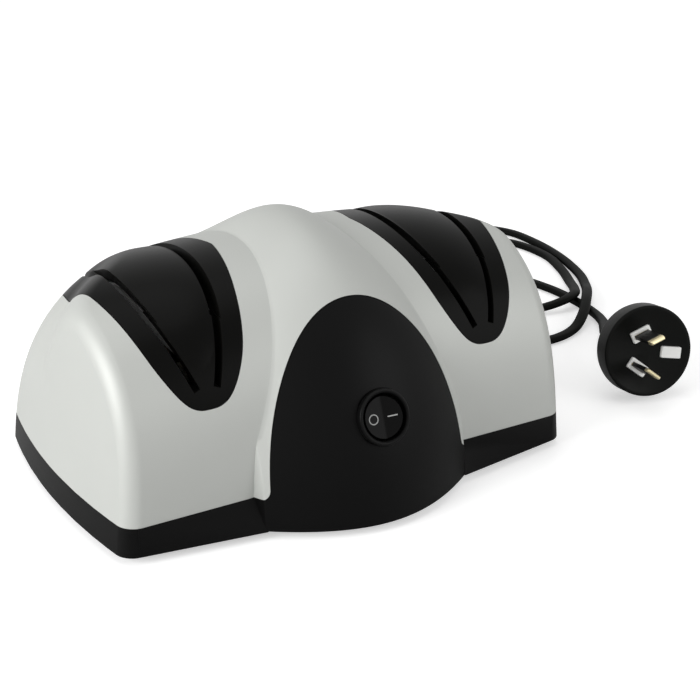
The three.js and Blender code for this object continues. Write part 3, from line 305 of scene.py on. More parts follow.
def bar_rings(levels, width, thickness, corner, steps=6):
    """Rings of a bar along local z: a rectangle with round corners, drawn in by each level's inset."""
    quarter = np.linspace(0, np.pi / 2, steps)
    rings = []
    for z, inset in levels:
        radius = max(corner - inset, 0.02)
        half_x, half_y = width / 2 - inset - radius, thickness / 2 - inset - radius
        corners = [(half_x, half_y, 0), (-half_x, half_y, 1), (-half_x, -half_y, 2), (half_x, -half_y, 3)]
        ring = [
            np.stack(
                [
                    cx + radius * np.cos(quarter + k * np.pi / 2),
                    cy + radius * np.sin(quarter + k * np.pi / 2),
                    np.full(steps, z),
                ],
                axis=-1,
            )
            for cx, cy, k in corners
        ]
        rings.append(np.concatenate(ring))
    return np.array(rings)


def carve(piece, *steps):
    """Joins, cuts or keeps in common one solid after another, then drops the tools."""
    for operation, tool in steps:
        step = piece.modifiers.new("step", "BOOLEAN")
        step.operation, step.object, step.solver = operation, tool, "MANIFOLD"
    shown = piece.evaluated_get(bpy.context.evaluated_depsgraph_get())
    old = piece.data
    piece.data = bpy.data.meshes.new_from_object(shown)
    piece.modifiers.clear()
    bpy.data.meshes.remove(old)
    for _, tool in steps:
        bpy.data.objects.remove(tool)
    return piece


def tool(rings):
    """A bare solid to join or cut with."""
    return mesh_object("tool", *skin_over(rings), None)


collar_places = [(PIN_TURN, PIN_CIRCLE, 0.0), (-PIN_TURN, PIN_CIRCLE, 0.0), (180.0, BLANK_OFFSET, 90.0)]
window = bar_rings([(-5.0, 0), (2.0, 0)], 9.2, 5.2, 0.7)
carve(plug_disc, *[("DIFFERENCE", tool(on_plug(around_face(window, *place)))) for place in collar_places])
smooth(plug_disc, 34)
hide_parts("plug_body")
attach(plug_disc, "housing")

# Pin carrier: white urea moulding that holds the two pins; its three collars stand just proud of the face.
# The third collar is blank, as the plug has no earth pin.
white_urea = moulded("white_urea_moulding", "#f2f2ef", "#f8f8f5", 0.34, 0.8, 0.01)
disc_levels, disc_radius = [-6.0, -6.0, -5.8, -4.2, -4.0, -4.0], [0.1, 14.7, 15.0, 15.0, 14.7, 0.1]
carrier_rings = on_plug(turned_rings(disc_levels, disc_radius, 64))
carrier = mesh_object("pin_carrier_moulding", *skin_over(carrier_rings), white_urea)
collar = bar_rings([(-4.6, 0), (0.35, 0), (0.62, 0.1), (0.75, 0.28), (0.8, 0.5)], 8.8, 4.8, 0.6)
hole = bar_rings([(-9, 0), (3, 0)], 6.75, 2.0, 0.4)
carve(
    carrier,
    *[("UNION", tool(on_plug(around_face(collar, *place)))) for place in collar_places],
    *[("DIFFERENCE", tool(on_plug(around_face(hole, *place)))) for place in collar_places[:2]],
)
smooth(carrier, 34)
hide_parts("pin_carrier")
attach(carrier, "housing")

# Pins: flat brass blades with chamfered tips, sheathed in black insulation over most of their length.
# They are pressed into the carrier before the PVC is moulded round it.
brass, brass_shader, brass_place = new_material("drawn_brass", 0.3, 1.0, "#efe2b8")
brushed = node(brass, "ShaderNodeMapping", {}, {"Vector": brass_place})
brushed.inputs["Scale"].default_value = (900, 900, 60)
drawn = node(
    brass, "ShaderNodeTexNoise", {"Scale": 1.0, "Detail": 3.0}, {"Vector": brushed.outputs["Vector"]}
)
drawn_rough = node(
    brass, "ShaderNodeMapRange", {"To Min": 0.27, "To Max": 0.33}, {"Value": drawn.outputs["Fac"]}
)
brass.node_tree.links.new(drawn_rough.outputs["Result"], brass_shader.inputs["Roughness"])
sheath = moulded("pin_insulation", "#0a0a0a", "#0f0f0f", 0.35, 0.7, 0.01, Specular_IOR_Level=0.2)
blade = bar_rings([(-4, 0), (14.6, 0), (15.6, 0.12), (16.6, 0.36), (17.0, 0.6)], 6.35, 1.6, 0.3)
sleeve = bar_rings([(0.85, 0.1), (1.0, 0), (12.8, 0), (12.95, 0.08)], 6.5, 1.72, 0.34)
pins = {}
for name, place in zip(("plug_pin_live", "plug_pin_neutral"), collar_places[:2]):
    short = name.replace("plug_", "")
    blade_skin = skin_over(on_plug(around_face(blade, *place)))
    pins[name] = smooth(mesh_object(short + "_blade", *blade_skin, brass), 20)
    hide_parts(name)
    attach(pins[name], "housing")
    sheath_skin = skin_over(on_plug(around_face(sleeve, *place)))
    pins[name + "_sheath"] = smooth(mesh_object(short + "_sheath", *sheath_skin, sheath), 20)
    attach(pins[name + "_sheath"], "housing")

# Floor and lights: a plain pale table, a wide soft key lamp on the left, a top lamp and a weaker fill.
# Camera, glossy and see-through rays find white all round; the floor keeps the shadow.
floor_material, floor_shader, _ = new_material("pale_table", 0.6, 0.0, "#e9e9e9")
light_path = node(floor_material, "ShaderNodeLightPath")
glow = node(floor_material, "ShaderNodeEmission", {"Strength": 0.5})
clear = node(floor_material, "ShaderNodeBsdfTransparent")
blend = node(floor_material, "ShaderNodeMixShader")
total = node(floor_material, "ShaderNodeAddShader")
floor_links = floor_material.node_tree.links
clear.inputs["Color"].default_value = (0, 0, 0, 1)
floor_links.new(light_path.outputs["Is Camera Ray"], blend.inputs[0])
floor_links.new(clear.outputs[0], blend.inputs[1])
floor_links.new(glow.outputs[0], blend.inputs[2])
floor_links.new(floor_shader.outputs[0], total.inputs[0])
floor_links.new(blend.outputs[0], total.inputs[1])
floor_links.new(total.outputs[0], floor_material.node_tree.nodes["Material Output"].inputs["Surface"])
FLOOR_REACH = 4000
floor_corners = [(x * FLOOR_REACH, y * FLOOR_REACH, 0) for x, y in ((-1, -1), (1, -1), (1, 1), (-1, 1))]
floor = mesh_object("floor", floor_corners, [(0, 1, 2, 3)], floor_material)
if floor.data.polygons[0].normal.z < 0:
    floor.data.flip_normals()
world = bpy.data.worlds.new("studio")
bpy.context.scene.world = world
world.use_nodes = True
sky = world.node_tree
back = sky.nodes["Background"]
world_path = sky.nodes.new("ShaderNodeLightPath")
seen = world_path.outputs["Is Camera Ray"]
for label in ("Is Glossy Ray", "Is Transmission Ray"):
    either = sky.nodes.new("ShaderNodeMath")
    either.operation = "MAXIMUM"
    sky.links.new(seen, either.inputs[0])
    sky.links.new(world_path.outputs[label], either.inputs[1])
    seen = either.outputs[0]
level = sky.nodes.new("ShaderNodeMapRange")
level.inputs["To Min"].default_value = 0.28
level.inputs["To Max"].default_value = 1.0
sky.links.new(seen, level.inputs["Value"])
sky.links.new(level.outputs["Result"], back.inputs["Strength"])
back.inputs["Color"].default_value = (1, 1, 1, 1)
bpy.context.scene.view_settings.view_transform = "Standard"
for label, place, aim, size, power in (
    ("key", (-1.8, -0.1, 0.75), (0, 0, 0.05), 1.3, 36),
    ("top", (0.0, 0.3, 1.8), (0, 0, 0.04), 1.4, 6),
    ("fill", (0.9, -1.1, 0.6), (0.1, 0, 0.04), 1.2, 7),
):
    lamp = bpy.data.lights.new(label, "AREA")
    lamp.shape, lamp.size, lamp.energy = "DISK", size, power
    stand = bpy.data.objects.new(label, lamp)
    bpy.context.collection.objects.link(stand)
    out = np.array(place) - aim
    out /= np.linalg.norm(out)
    side = np.cross((0, 0, 1), out)
    side /= np.linalg.norm(side)
    axes = np.column_stack([side, np.cross(out, side), out])
    stand.matrix_world = Matrix([(*row, at) for row, at in zip(axes, place)] + [(0, 0, 0, 1)])


# Base: black ABS moulding. Its tray carries the motor, its skirt runs out in front under the tall nose,
# and the nose fills the arch of the cover and holds the switch.
WING_HALF_LENGTH, WING_HALF_DEPTH, WING_HEIGHT = 97.2, 57.4, 88.3
HUMP_FRONT, HUMP_BACK, HUMP_HEIGHT = 79.5, 61.0, 95.4
FOOT_HEIGHT, SPLIT_HEIGHT, CUT_DEPTH = 3.0, 14.0, 175.0
COVER_WALL, SHELL_GAP, LIP_WALL, LIP_RISE, BASE_FLOOR, NOSE_WALL = 2.5, 0.3, 1.8, 3.0, 2.5, 2.6
HUMP_FOOT_HALF, HUMP_CREST_HALF, HUMP_LEAST_RIDGE, HUMP_TAIL_DROP = 52.4, 20.5, 0.6, 2.0
FLANK_X, FLANK_RUN = 45.0, 2.4
END_BOW, END_DRAFT, END_ROUND_FRONT, END_ROUND_REAR = 5.8, 8.6, 6.0, 47.0
ARCH_HALF, ARCH_RISE, ARCH_FLOOR = 39.3, 64.5, 12.0


def smoothstep(value, low, high):
    """Cubic step 3t2 - 2t3 of the value's place between low and high."""
    t = np.clip((value - low) / (high - low), 0, 1)
    return t * t * (3 - 2 * t)


def wing_reach(angle, x, inset=0.0):
    """Distance r from the X axis to the arched wing, by halving: (r cos / depth)^2 + (r sin / height)^p = 1.
    The height and the power p fall towards the end."""
    angle, x = np.broadcast_arrays(np.asarray(angle, float), np.asarray(x, float))
    depth = WING_HALF_DEPTH - inset
    out_share = np.abs(x) / WING_HALF_LENGTH
    height = WING_HEIGHT - 7.6 * out_share**1.5 - inset
    power = 3.76 + (3.4 - 3.76) * np.minimum(out_share**4, 1)
    across, up = np.abs(np.cos(angle)) / depth, np.abs(np.sin(angle)) / height
    near, far = np.zeros_like(x), np.full_like(x, depth) + height
    for _ in range(36):
        middle = (near + far) / 2
        inside = (middle * across) ** 2 + (middle * up) ** power < 1
        near, far = np.where(inside, middle, near), np.where(inside, far, middle)
    return near


def hump_half_width(angle):
    """Half width of the hump's own curve, which narrows from the foot to the crest."""
    climb = np.degrees(np.minimum(angle, np.pi - np.asarray(angle, float)))
    return HUMP_FOOT_HALF + (HUMP_CREST_HALF - HUMP_FOOT_HALF) * smoothstep(climb, 5, 90)


def hump_flank(angle, inset=0.0):
    """Where the flank starts: at the foot of the hump's curve, or just past the arch's feet."""
    return np.minimum(hump_half_width(angle), FLANK_X - inset)


def hump_rise(angle, x, inset=0.0):
    """How far the hump stands off the wing: ridge (1 - (x / half)^2), dropped away along the flank."""
    angle, x = np.broadcast_arrays(np.asarray(angle, float), np.asarray(x, float))
    depth = np.where(np.cos(angle) > 0, HUMP_FRONT, HUMP_BACK) - inset
    reach = 1 / np.hypot(np.cos(angle) / depth, np.sin(angle) / (HUMP_HEIGHT - inset))
    ridge = np.maximum(reach - wing_reach(angle, 0 * x, inset), HUMP_LEAST_RIDGE)
    curve = ridge * (1 - (x / hump_half_width(angle)) ** 2)
    start = hump_flank(angle, inset)
    fall = smoothstep(np.abs(x), start, start + FLANK_RUN)
    return np.maximum(curve - (curve + HUMP_TAIL_DROP) * fall, 0)


def rounding_at(angle):
    """Radius of the wing's end rounding: small in front, large over the upper rear."""
    growth = smoothstep(np.degrees(angle), 74, 110) * np.sin(angle) ** 2
    return END_ROUND_FRONT + (END_ROUND_REAR - END_ROUND_FRONT) * growth


def end_share(y, z):
    """Share of x that a place keeps: 1 - bow (y / depth)^2 - draft z / height, both per half length."""
    bow = END_BOW / WING_HALF_LENGTH * (y / WING_HALF_DEPTH) ** 2
    return 1 - bow - END_DRAFT / WING_HALF_LENGTH * z / WING_HEIGHT


def body_point(x, angle, reach):
    """A point at an angle and distance from the X axis, its x drawn in by the end's bow and draft."""
    y, z = -reach * np.cos(angle), reach * np.sin(angle)
    return np.stack([x * end_share(y, z), y, z], axis=-1)


def body_rings(inset=0.0, hump=True, turns=168):
    """Rings of the whole body along X: over the hump, along the wing, round its end and in to the middle."""
    angle = np.linspace(0, np.pi, turns + 1)
    end = WING_HALF_LENGTH - inset
    rounding = np.maximum(rounding_at(angle) - inset, 2)
    straight_end = end - rounding
    start = hump_flank(angle, inset)
    hump_x = np.linspace(0, 1, 22)[:, None] * start
    hump_x = np.concatenate([hump_x, start + FLANK_RUN * np.linspace(0, 1, 13)[1:, None]])
    wing_x = hump_x[-1] + np.linspace(0, 1, 12)[1:, None] * (straight_end - hump_x[-1])
    turned = np.linspace(0, np.pi / 2, 18)[1:, None]
    round_x = straight_end + rounding * np.sin(turned)
    x = np.concatenate([hump_x, wing_x, round_x])
    drawn_in = np.concatenate([0 * hump_x, 0 * wing_x, rounding * (1 - np.cos(turned))])
    reach = wing_reach(angle, x, inset) - drawn_in
    if hump:
        reach = reach + hump_rise(angle, x, inset)
    caps = np.array([0.9, 0.7, 0.45, 0.2, 0.04])[:, None] * reach[-1]
    x = np.concatenate([x, np.broadcast_to(x[-1], caps.shape)])
    half = body_point(x, angle, np.concatenate([reach, caps]))
    return np.concatenate([half[:0:-1] * (-1, 1, 1), half])


def skin_gap(points, hump):
    """A value that is 0 on the body's skin: the round end is a quarter circle of reach and length."""
    x, y, z = np.moveaxis(points, -1, 0)
    angle, reach = np.arctan2(z, -y), np.hypot(y, z)
    x = x / end_share(y, z)
    rounding = rounding_at(angle)
    full = wing_reach(angle, x)
    if hump:
        full = full + hump_rise(angle, x)
    past = np.maximum(np.abs(x) - WING_HALF_LENGTH + rounding, 0)
    return np.hypot(past, np.maximum(reach - full + rounding, 0)) - rounding


def shade_by_skin(piece, hump, degrees=28.0):
    """Smooth shading whose normals on the skin are the gradient of skin_gap, so cut edges don't pull them."""
    smooth(piece, degrees)
    mesh = piece.data
    points = np.empty(len(mesh.vertices) * 3, np.float32)
    mesh.vertices.foreach_get("co", points)
    points = points.reshape(-1, 3).astype(float) * 1000 - (0, BODY_Y, 0)
    low = points[:, 2] < 0.5
    points[low, 2] = 0.5
    step = 0.02
    moves = step * np.eye(3)
    slope = [skin_gap(points + move, hump) - skin_gap(points - move, hump) for move in moves]
    slope = np.stack(slope, axis=-1)
    slope /= np.linalg.norm(slope, axis=1)[:, None] + 1e-12
    on_skin = (np.abs(skin_gap(points, hump)) < 0.06) & ~low
    corners = np.empty(len(mesh.loops), np.int32)
    mesh.loops.foreach_get("vertex_index", corners)
    totals = np.empty(len(mesh.polygons), np.int32)
    mesh.polygons.foreach_get("loop_total", totals)
    flat = np.empty(len(mesh.polygons) * 3, np.float32)
    mesh.polygons.foreach_get("normal", flat)
    flat = np.repeat(flat.reshape(-1, 3), totals, axis=0)
    facing = np.einsum("ij,ij->i", flat, slope[corners]) > 0.93
    normals = np.where((on_skin[corners] & facing)[:, None], slope[corners], 0.0)
    mesh.normals_split_custom_set(normals.tolist())
    return piece


def box_tool(x0, x1, y0, y1, z0, z1):
    """A bare box to join or cut with."""
    ring = np.array([(x0, y0), (x1, y0), (x1, y1), (x0, y1)])
    return tool(np.array([np.column_stack([ring, np.full(4, z)]) for z in (z0, z1)]))


def bar_tool(x, y, z0, z1, radius, around=40):
    """A bare upright round bar to join or cut with."""
    return tool(turned_rings([z0, z1], [radius, radius], around) + (x, y, 0))


def upright_rings(outline, depths):
    """Rings of a prism along Y: an outline in x and z at each depth."""
    across, up = outline.T
    return np.array([np.column_stack([across, np.full(len(outline), y), up]) for y in depths])


def arch_tool(grow):
    """The nose's arch outline as a bar through the front: an upper half ellipse on two flared feet."""
    half, rise = ARCH_HALF + grow, ARCH_RISE + grow
    foot_top = SPLIT_HEIGHT + 5
    start = np.arcsin((foot_top - ARCH_FLOOR) / rise)
    turn = np.linspace(start, np.pi - start, 97)
    foot_x = half * np.cos(start)
    t = np.linspace(0, 1, 9)[:-1, None]
    toe, heel, ankle = (half + 5, SPLIT_HEIGHT), (foot_x, SPLIT_HEIGHT), (foot_x, foot_top)
    flare = (1 - t) ** 2 * toe + 2 * t * (1 - t) * heel + t**2 * ankle
    top = np.column_stack([half * np.cos(turn), ARCH_FLOOR + rise * np.sin(turn)])
    sides = [[(half + 5, 0)], flare, top, flare[::-1] * (-1, 1), [(-half - 5, 0)]]
    outline = np.concatenate(sides)
    return tool(upright_rings(outline, (0, -CUT_DEPTH)))


black_abs = moulded("black_abs_fine_spark", "#080808", "#0b0b0b", 0.4, 0.45, 0.012, Specular_IOR_Level=0.07)
SWITCH_HEIGHT = 40.4
switch_y = -HUMP_FRONT * np.cos(np.arcsin(SWITCH_HEIGHT / HUMP_HEIGHT))
switch_lean = np.arctan2(SWITCH_HEIGHT / HUMP_HEIGHT**2, -switch_y / HUMP_FRONT**2)
switch_turn = np.array(Matrix.Rotation(np.pi / 2 - switch_lean, 3, "X"))


def on_nose(points):
    """Places in the switch's frame, whose local z points out of the nose, as places of the body."""
    return np.asarray(points, float) @ switch_turn.T + (0, switch_y, SWITCH_HEIGHT)


BOSSES = [(x, y) for x in (-84.5, 84.5) for y in (-34.0, 34.0)]
FEET = [(x, y) for x in (-67.5, 67.5) for y in (-48.5, 48.5)]
MOTOR_POSTS = [(x, y) for x in (-24.5, 24.5) for y in (-19.0, 19.0)]
base = mesh_object("base_moulding", *skin_over(body_rings()), black_abs)
inner = tool(body_rings(COVER_WALL + SHELL_GAP + LIP_WALL, turns=72))
carve(inner, ("INTERSECT", box_tool(-200, 200, -200, 200, FOOT_HEIGHT + BASE_FLOOR, 200)))
lip = tool(body_rings(COVER_WALL + SHELL_GAP, turns=96))
carve(lip, ("INTERSECT", box_tool(-200, 200, -200, 200, SPLIT_HEIGHT - 1, SPLIT_HEIGHT + LIP_RISE)))
nose = tool(body_rings())
carve(
    nose,
    ("INTERSECT", arch_tool(0)),
    ("INTERSECT", box_tool(-200, 200, -200, 200, SPLIT_HEIGHT - 1, 200)),
)
carve(
    base,
    ("INTERSECT", box_tool(-200, 200, -200, 200, FOOT_HEIGHT, SPLIT_HEIGHT)),
    ("UNION", lip),
    ("DIFFERENCE", inner),
    ("UNION", nose),
)
hollow = tool(body_rings(NOSE_WALL, turns=96))
carve(hollow, ("INTERSECT", box_tool(-200, 200, -200, 0, SPLIT_HEIGHT - 1, 200)))
skirts = []
for side in (-1, 1):
    corners = np.array(
        [
            [(41, -WING_HALF_DEPTH - 6.7, FOOT_HEIGHT), (86, -WING_HALF_DEPTH, FOOT_HEIGHT)],
            [(41, -WING_HALF_DEPTH, SPLIT_HEIGHT), (86, -WING_HALF_DEPTH, SPLIT_HEIGHT)],
            [(41, 2.5 - WING_HALF_DEPTH, SPLIT_HEIGHT), (86, 2.5 - WING_HALF_DEPTH, SPLIT_HEIGHT)],
            [(41, 2.5 - WING_HALF_DEPTH, FOOT_HEIGHT), (86, 2.5 - WING_HALF_DEPTH, FOOT_HEIGHT)],
        ]
    )
    skirts.append(("UNION", tool(corners.transpose(1, 0, 2) * (side, 1, 1))))
opening = tool(on_nose(turned_rings([-14, -1, -1, 10], [9.2, 9.2, 10.3, 10.3], 96)))
slit = bar_rings([(0, 0), (9, 0)], 26, 2.6, 1.2)
carve(
    base,
    ("DIFFERENCE", hollow),
    *skirts,
    *[("UNION", bar_tool(*at, FOOT_HEIGHT, SPLIT_HEIGHT, 4)) for at in BOSSES + MOTOR_POSTS],
    *[("DIFFERENCE", bar_tool(*at, 0, 20, 1.8)) for at in BOSSES],
    *[("DIFFERENCE", bar_tool(*at, 0, FOOT_HEIGHT + 7, 3.4)) for at in BOSSES],
    *[("DIFFERENCE", bar_tool(*at, 0, SPLIT_HEIGHT, 2.5)) for at in FEET],
    *[("DIFFERENCE", bar_tool(*at, FOOT_HEIGHT + BASE_FLOOR, 20, 1.7)) for at in MOTOR_POSTS],
    *[("DIFFERENCE", tool(slit + (0, y, 0))) for y in (-14, -7, 0, 7, 14)],
    ("DIFFERENCE", opening),
)
shade_by_skin(base, True)
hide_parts("base")
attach(base, "housing")

# Feet: four moulded rubber pads with a round edge and a shallow ring, each with a peg pressed into the base.
# They lift the tray's air slits 3 mm off the table.
black_rubber = moulded("moulded_rubber_foot", "#101010", "#161616", 0.78, 0.6, 0.03, Specular_IOR_Level=0.2)
foot_z = [0.35, 0.35, 0.0, 0.0, 0.15, 0.55, 2.7, 3.0, 3.0, 6.6, 7.0, 7.0]
foot_radius = [0.1, 4.6, 4.9, 5.9, 6.3, 6.5, 6.5, 6.3, 2.2, 2.2, 1.9, 0.1]
for label, (x, y) in zip(("left_front", "left_back", "right_front", "right_back"), FEET):
    foot_rings = turned_rings(foot_z, foot_radius, 48) + (x, y, 0)
    pad = mesh_object("rubber_foot_" + label, *skin_over(foot_rings), black_rubber)
    smooth(pad, 40)
    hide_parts("foot_" + label)
    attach(pad, "housing")


# Motor: a stack of stamped plates between two cast end brackets, its coil wound on a nylon bobbin.
# Bolts clamp the stack, and screws hold the brackets on the base's posts.
stack, stack_shader, stack_place = new_material("stamped_steel_stack", 0.46, 0.85, "#6d7178")
plates = node(
    stack,
    "ShaderNodeTexWave",
    {"wave_type": "BANDS", "bands_direction": "X", "Scale": 160.0, "Distortion": 0.6, "Detail": 1.0},
    {"Vector": stack_place},
)
plate_bump = node(
    stack, "ShaderNodeBump", {"Strength": 0.5, "Distance": 0.0001}, {"Height": plates.outputs["Fac"]}
)
stack.node_tree.links.new(plate_bump.outputs["Normal"], stack_shader.inputs["Normal"])
plate_rough = node(
    stack, "ShaderNodeMapRange", {"To Min": 0.38, "To Max": 0.58}, {"Value": plates.outputs["Fac"]}
)
stack.node_tree.links.new(plate_rough.outputs["Result"], stack_shader.inputs["Roughness"])


def worn_metal(name, dark, light, roughness, metallic, grain_mm, bump_mm, spread):
    """A metal with fine grain in tone, bump and roughness, for cast, sintered, turned or plated parts."""
    return moulded(name, dark, light, roughness, grain_mm, bump_mm, spread, metallic=metallic)


coil, coil_shader, coil_place = new_material("enamelled_copper_coil", 0.36, 0.7, "#a5562a")
turns = node(
    coil,
    "ShaderNodeTexWave",
    {"wave_type": "BANDS", "bands_direction": "Y", "Scale": 310.0, "Distortion": 1.2, "Detail": 2.0},
    {"Vector": coil_place},
)
coil_bump = node(
    coil, "ShaderNodeBump", {"Strength": 0.8, "Distance": 0.00015}, {"Height": turns.outputs["Fac"]}
)
coil.node_tree.links.new(coil_bump.outputs["Normal"], coil_shader.inputs["Normal"])
natural_nylon = moulded("natural_nylon", "#dcd8c8", "#e6e2d3", 0.5, 1.0, 0.02)
cast_alloy = worn_metal("die_cast_alloy", "#979ca0", "#a3a8ac", 0.46, 0.85, 0.5, 0.03, 0.08)
zinc_steel = worn_metal("zinc_plated_steel", "#b3b7bb", "#bdc1c5", 0.32, 0.95, 0.3, 0.008, 0.06)
sintered_bronze = worn_metal("sintered_bronze", "#a07034", "#b28040", 0.52, 0.8, 0.25, 0.03, 0.08)
finishes = {
    "stator": stack, "rotor": stack, "bobbin": natural_nylon, "winding": coil, "shaft": zinc_steel,
}
for side in ("left", "right"):
    finishes["end_bracket_" + side] = cast_alloy
    finishes["bush_" + side] = sintered_bronze
    finishes["shaft_spacer_" + side] = natural_nylon
    finishes["wheel_hub_" + side] = natural_nylon
    finishes["shaft_clip_" + side] = zinc_steel
    finishes["terminal_" + side] = brass
    for end in ("front", "back"):
        finishes["case_screw_" + side + "_" + end] = zinc_steel
        finishes["bracket_screw_" + side + "_" + end] = zinc_steel
for end in ("front", "back"):
    finishes["motor_bolt_" + end] = zinc_steel
    finishes["motor_nut_" + end] = zinc_steel
for name, finish in finishes.items():
    cad_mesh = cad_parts[name].data
    cad_mesh.materials.clear()
    cad_mesh.materials.append(finish)

# Grinding wheels: bonded ceramic discs, coarse on the left and fine on the right, clipped on the motor shaft.
# The rim is bevelled on both sides, to the lean of the two knife slots above it.
AXIS_HEIGHT, STAGE_X, WHEEL_RADIUS = 39.0, 56.0, 20.8


def bonded_grit(name, dark, light, grain_mm, bump_mm):
    """A bonded abrasive: cells of grit in two tones, with bump between the grains."""
    material, shader, place = new_material(name, 0.92)
    cells = node(material, "ShaderNodeTexVoronoi", {"Scale": 1000 / grain_mm}, {"Vector": place})
    tone = node(material, "ShaderNodeMix", {"data_type": "RGBA"}, {0: cells.outputs["Color"]})
    tone.inputs[6].default_value, tone.inputs[7].default_value = srgb(dark), srgb(light)
    bump = node(
        material,
        "ShaderNodeBump",
        {"Strength": 0.7, "Distance": bump_mm / 1000},
        {"Height": cells.outputs["Distance"]},
    )
    material.node_tree.links.new(tone.outputs[2], shader.inputs["Base Color"])
    material.node_tree.links.new(bump.outputs["Normal"], shader.inputs["Normal"])
    return material


wheel_x = np.array([-3.5, -3.5, -2.625, 2.625, 3.5, 3.5, -3.5])
wheel_radius = np.array([8.3, 18.8, WHEEL_RADIUS, WHEEL_RADIUS, 18.8, 8.3, 8.3])
grits = {
    "coarse": (-STAGE_X, bonded_grit("coarse_bonded_grit", "#5e5247", "#8d7b69", 0.5, 0.16)),
    "fine": (STAGE_X, bonded_grit("fine_bonded_grit", "#c9c6be", "#e4e1da", 0.22, 0.06)),
}
for grade, (x, grit) in grits.items():
    rings = turned_rings(wheel_x, wheel_radius, 96)
    points, _ = skin_over(rings)
    points = points[:, [2, 0, 1]] + (x, 0, AXIS_HEIGHT)
    count, around = rings.shape[:2]
    i, j = np.meshgrid(np.arange(count - 1), np.arange(around), indexing="ij")
    a, b = i * around + j, i * around + (j + 1) % around
    a2, b2 = ((i + 1) % (count - 1)) * around + j, ((i + 1) % (count - 1)) * around + (j + 1) % around
    quads = np.stack([a, b, b2, a2], axis=-1).reshape(-1, 4).tolist()
    wheel = smooth(mesh_object("grinding_wheel_" + grade, points[: (count - 1) * around], quads, grit), 14)
    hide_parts("wheel_" + grade)
    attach(wheel, "spindle")

# Switch body: a round black bezel with a soft edge, snapped into the nose; its well holds the rocker.
switch_z = [-14.0, -14.0, -13.6, -0.72, -0.7, 0.9, 1.45, 1.72, 1.8, 1.72, 1.45, 1.1, -11.58, -11.6, -11.6]
switch_radius = [0.1, 8.6, 8.9, 8.9, 9.75, 9.98, 9.86, 9.6, 9.25, 8.82, 8.5, 8.3, 8.3, 8.1, 0.1]
satin_nylon = moulded("satin_black_nylon", "#080808", "#0b0b0b", 0.36, 0.5, 0.006, Specular_IOR_Level=0.07)
bezel_rings = on_nose(turned_rings(switch_z, switch_radius, 96))
bezel = mesh_object("switch_bezel", *skin_over(bezel_rings), satin_nylon)
ROCKER_PIVOT, ROCKER_RADIUS = (0, 0, -2.2), 8
pin_hole = turned_rings([-9.9, 9.9], [1.2, 1.2], 24)[..., [0, 2, 1]] + ROCKER_PIVOT
carve(bezel, ("DIFFERENCE", tool(on_nose(pin_hole))))
smooth(bezel, 30)
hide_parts("switch_body")
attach(bezel, "housing")

# Rocker: a ball-sided black disc that tilts in the well; two shallow faces meet in a V over its pin.
# Pale marks, a ring for off and a bar for on, are printed on the faces.
gloss_abs = moulded(
    "polished_black_abs", "#090909", "#0c0c0c", 0.22, 0.8, 0.004, 0.03, Specular_IOR_Level=0.06
)
ball_turn = np.linspace(-np.pi / 2 + 0.01, np.pi / 2 - 0.01, 64)
ball = turned_rings(ROCKER_RADIUS * np.sin(ball_turn), ROCKER_RADIUS * np.cos(ball_turn), 96)
rocker_piece = mesh_object("rocker_button", *skin_over(on_nose(ball + ROCKER_PIVOT)), gloss_abs)
FACE_RISE, FACE_SLOPE = 3.0, np.tan(np.radians(20))


def face_height(x):
    """Height of the rocker's top at a local x: flat on the left, rising on the right, soft in the V."""
    soft = 0.5
    return FACE_RISE + FACE_SLOPE * (x + np.sqrt(x * x + soft * soft)) / 2


face_x = np.linspace(-9, 9, 61)
side_line = np.concatenate([np.column_stack([face_x, face_height(face_x)]), [(9, -3.0), (-9, -3.0)]])
wedge = tool(on_nose(upright_rings(side_line, (-9, 9)) + ROCKER_PIVOT))
pin = tool(on_nose(turned_rings([-8.6, 8.6], [0.9, 0.9], 24)[..., [0, 2, 1]] + ROCKER_PIVOT))
carve(rocker_piece, ("INTERSECT", wedge), ("UNION", pin))
smooth(rocker_piece, 24)
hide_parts("rocker")
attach(rocker_piece, "rocker")
pale_ink = moulded("pale_pad_printing", "#9a9b99", "#a4a5a3", 0.5, 0.3, 0.004)
ring_turn = np.linspace(0, 2 * np.pi, 64, endpoint=False)
ring_radius, ring_height = np.array([1.5, 1.86, 1.86, 1.5]), np.array([-0.05, -0.05, 0.03, 0.03])
mark = np.stack(
    [
        -4.2 + ring_radius * np.cos(ring_turn)[:, None],
        ring_radius * np.sin(ring_turn)[:, None],
        np.broadcast_to(ring_height, (64, 4)),
    ],
    axis=-1,
)
mark[..., 2] += face_height(mark[..., 0])
i, j = np.meshgrid(np.arange(64), np.arange(4), indexing="ij")
a, b = i * 4 + j, i * 4 + (j + 1) % 4
a2, b2 = (i + 1) % 64 * 4 + j, (i + 1) % 64 * 4 + (j + 1) % 4
ring_faces = np.stack([a, b, b2, a2], axis=-1).reshape(-1, 4).tolist()
off_mark = mesh_object("mark_off_ring", on_nose(mark.reshape(-1, 3) + ROCKER_PIVOT), ring_faces, pale_ink)
dash = bar_rings([(-0.05, 0), (0.03, 0)], 3.4, 0.42, 0.15)
dash[..., 0] += 2.8
dash[..., 2] += face_height(dash[..., 0])
on_mark = mesh_object("mark_on_bar", *skin_over(on_nose(dash + ROCKER_PIVOT)), pale_ink)
for printed in (off_mark, on_mark):
    smooth(printed, 30)
    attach(printed, "rocker")

# Slot inserts: one glossy black moulding for each stage, set in the cover from below on a hidden flange.
# Two leaning slots, wide above and narrow below, are cut beside a low raised wedge.
SLOT_LEAN, SLOT_BOTTOM, SLOT_STEP, SLOT_SPACING = np.radians(20.5), 55.6, 74.5, 7.2
OUTLINE = np.array(
    [
        (0, 0), (0.16, 0.008), (0.3, 0.045), (0.44, 0.125), (0.575, 0.245),
        (0.675, 0.384), (0.785, 0.576), (0.9, 0.785), (1, 1), (1.08, 1.2),
    ]
) * (27.8, 67) + (0, -3)


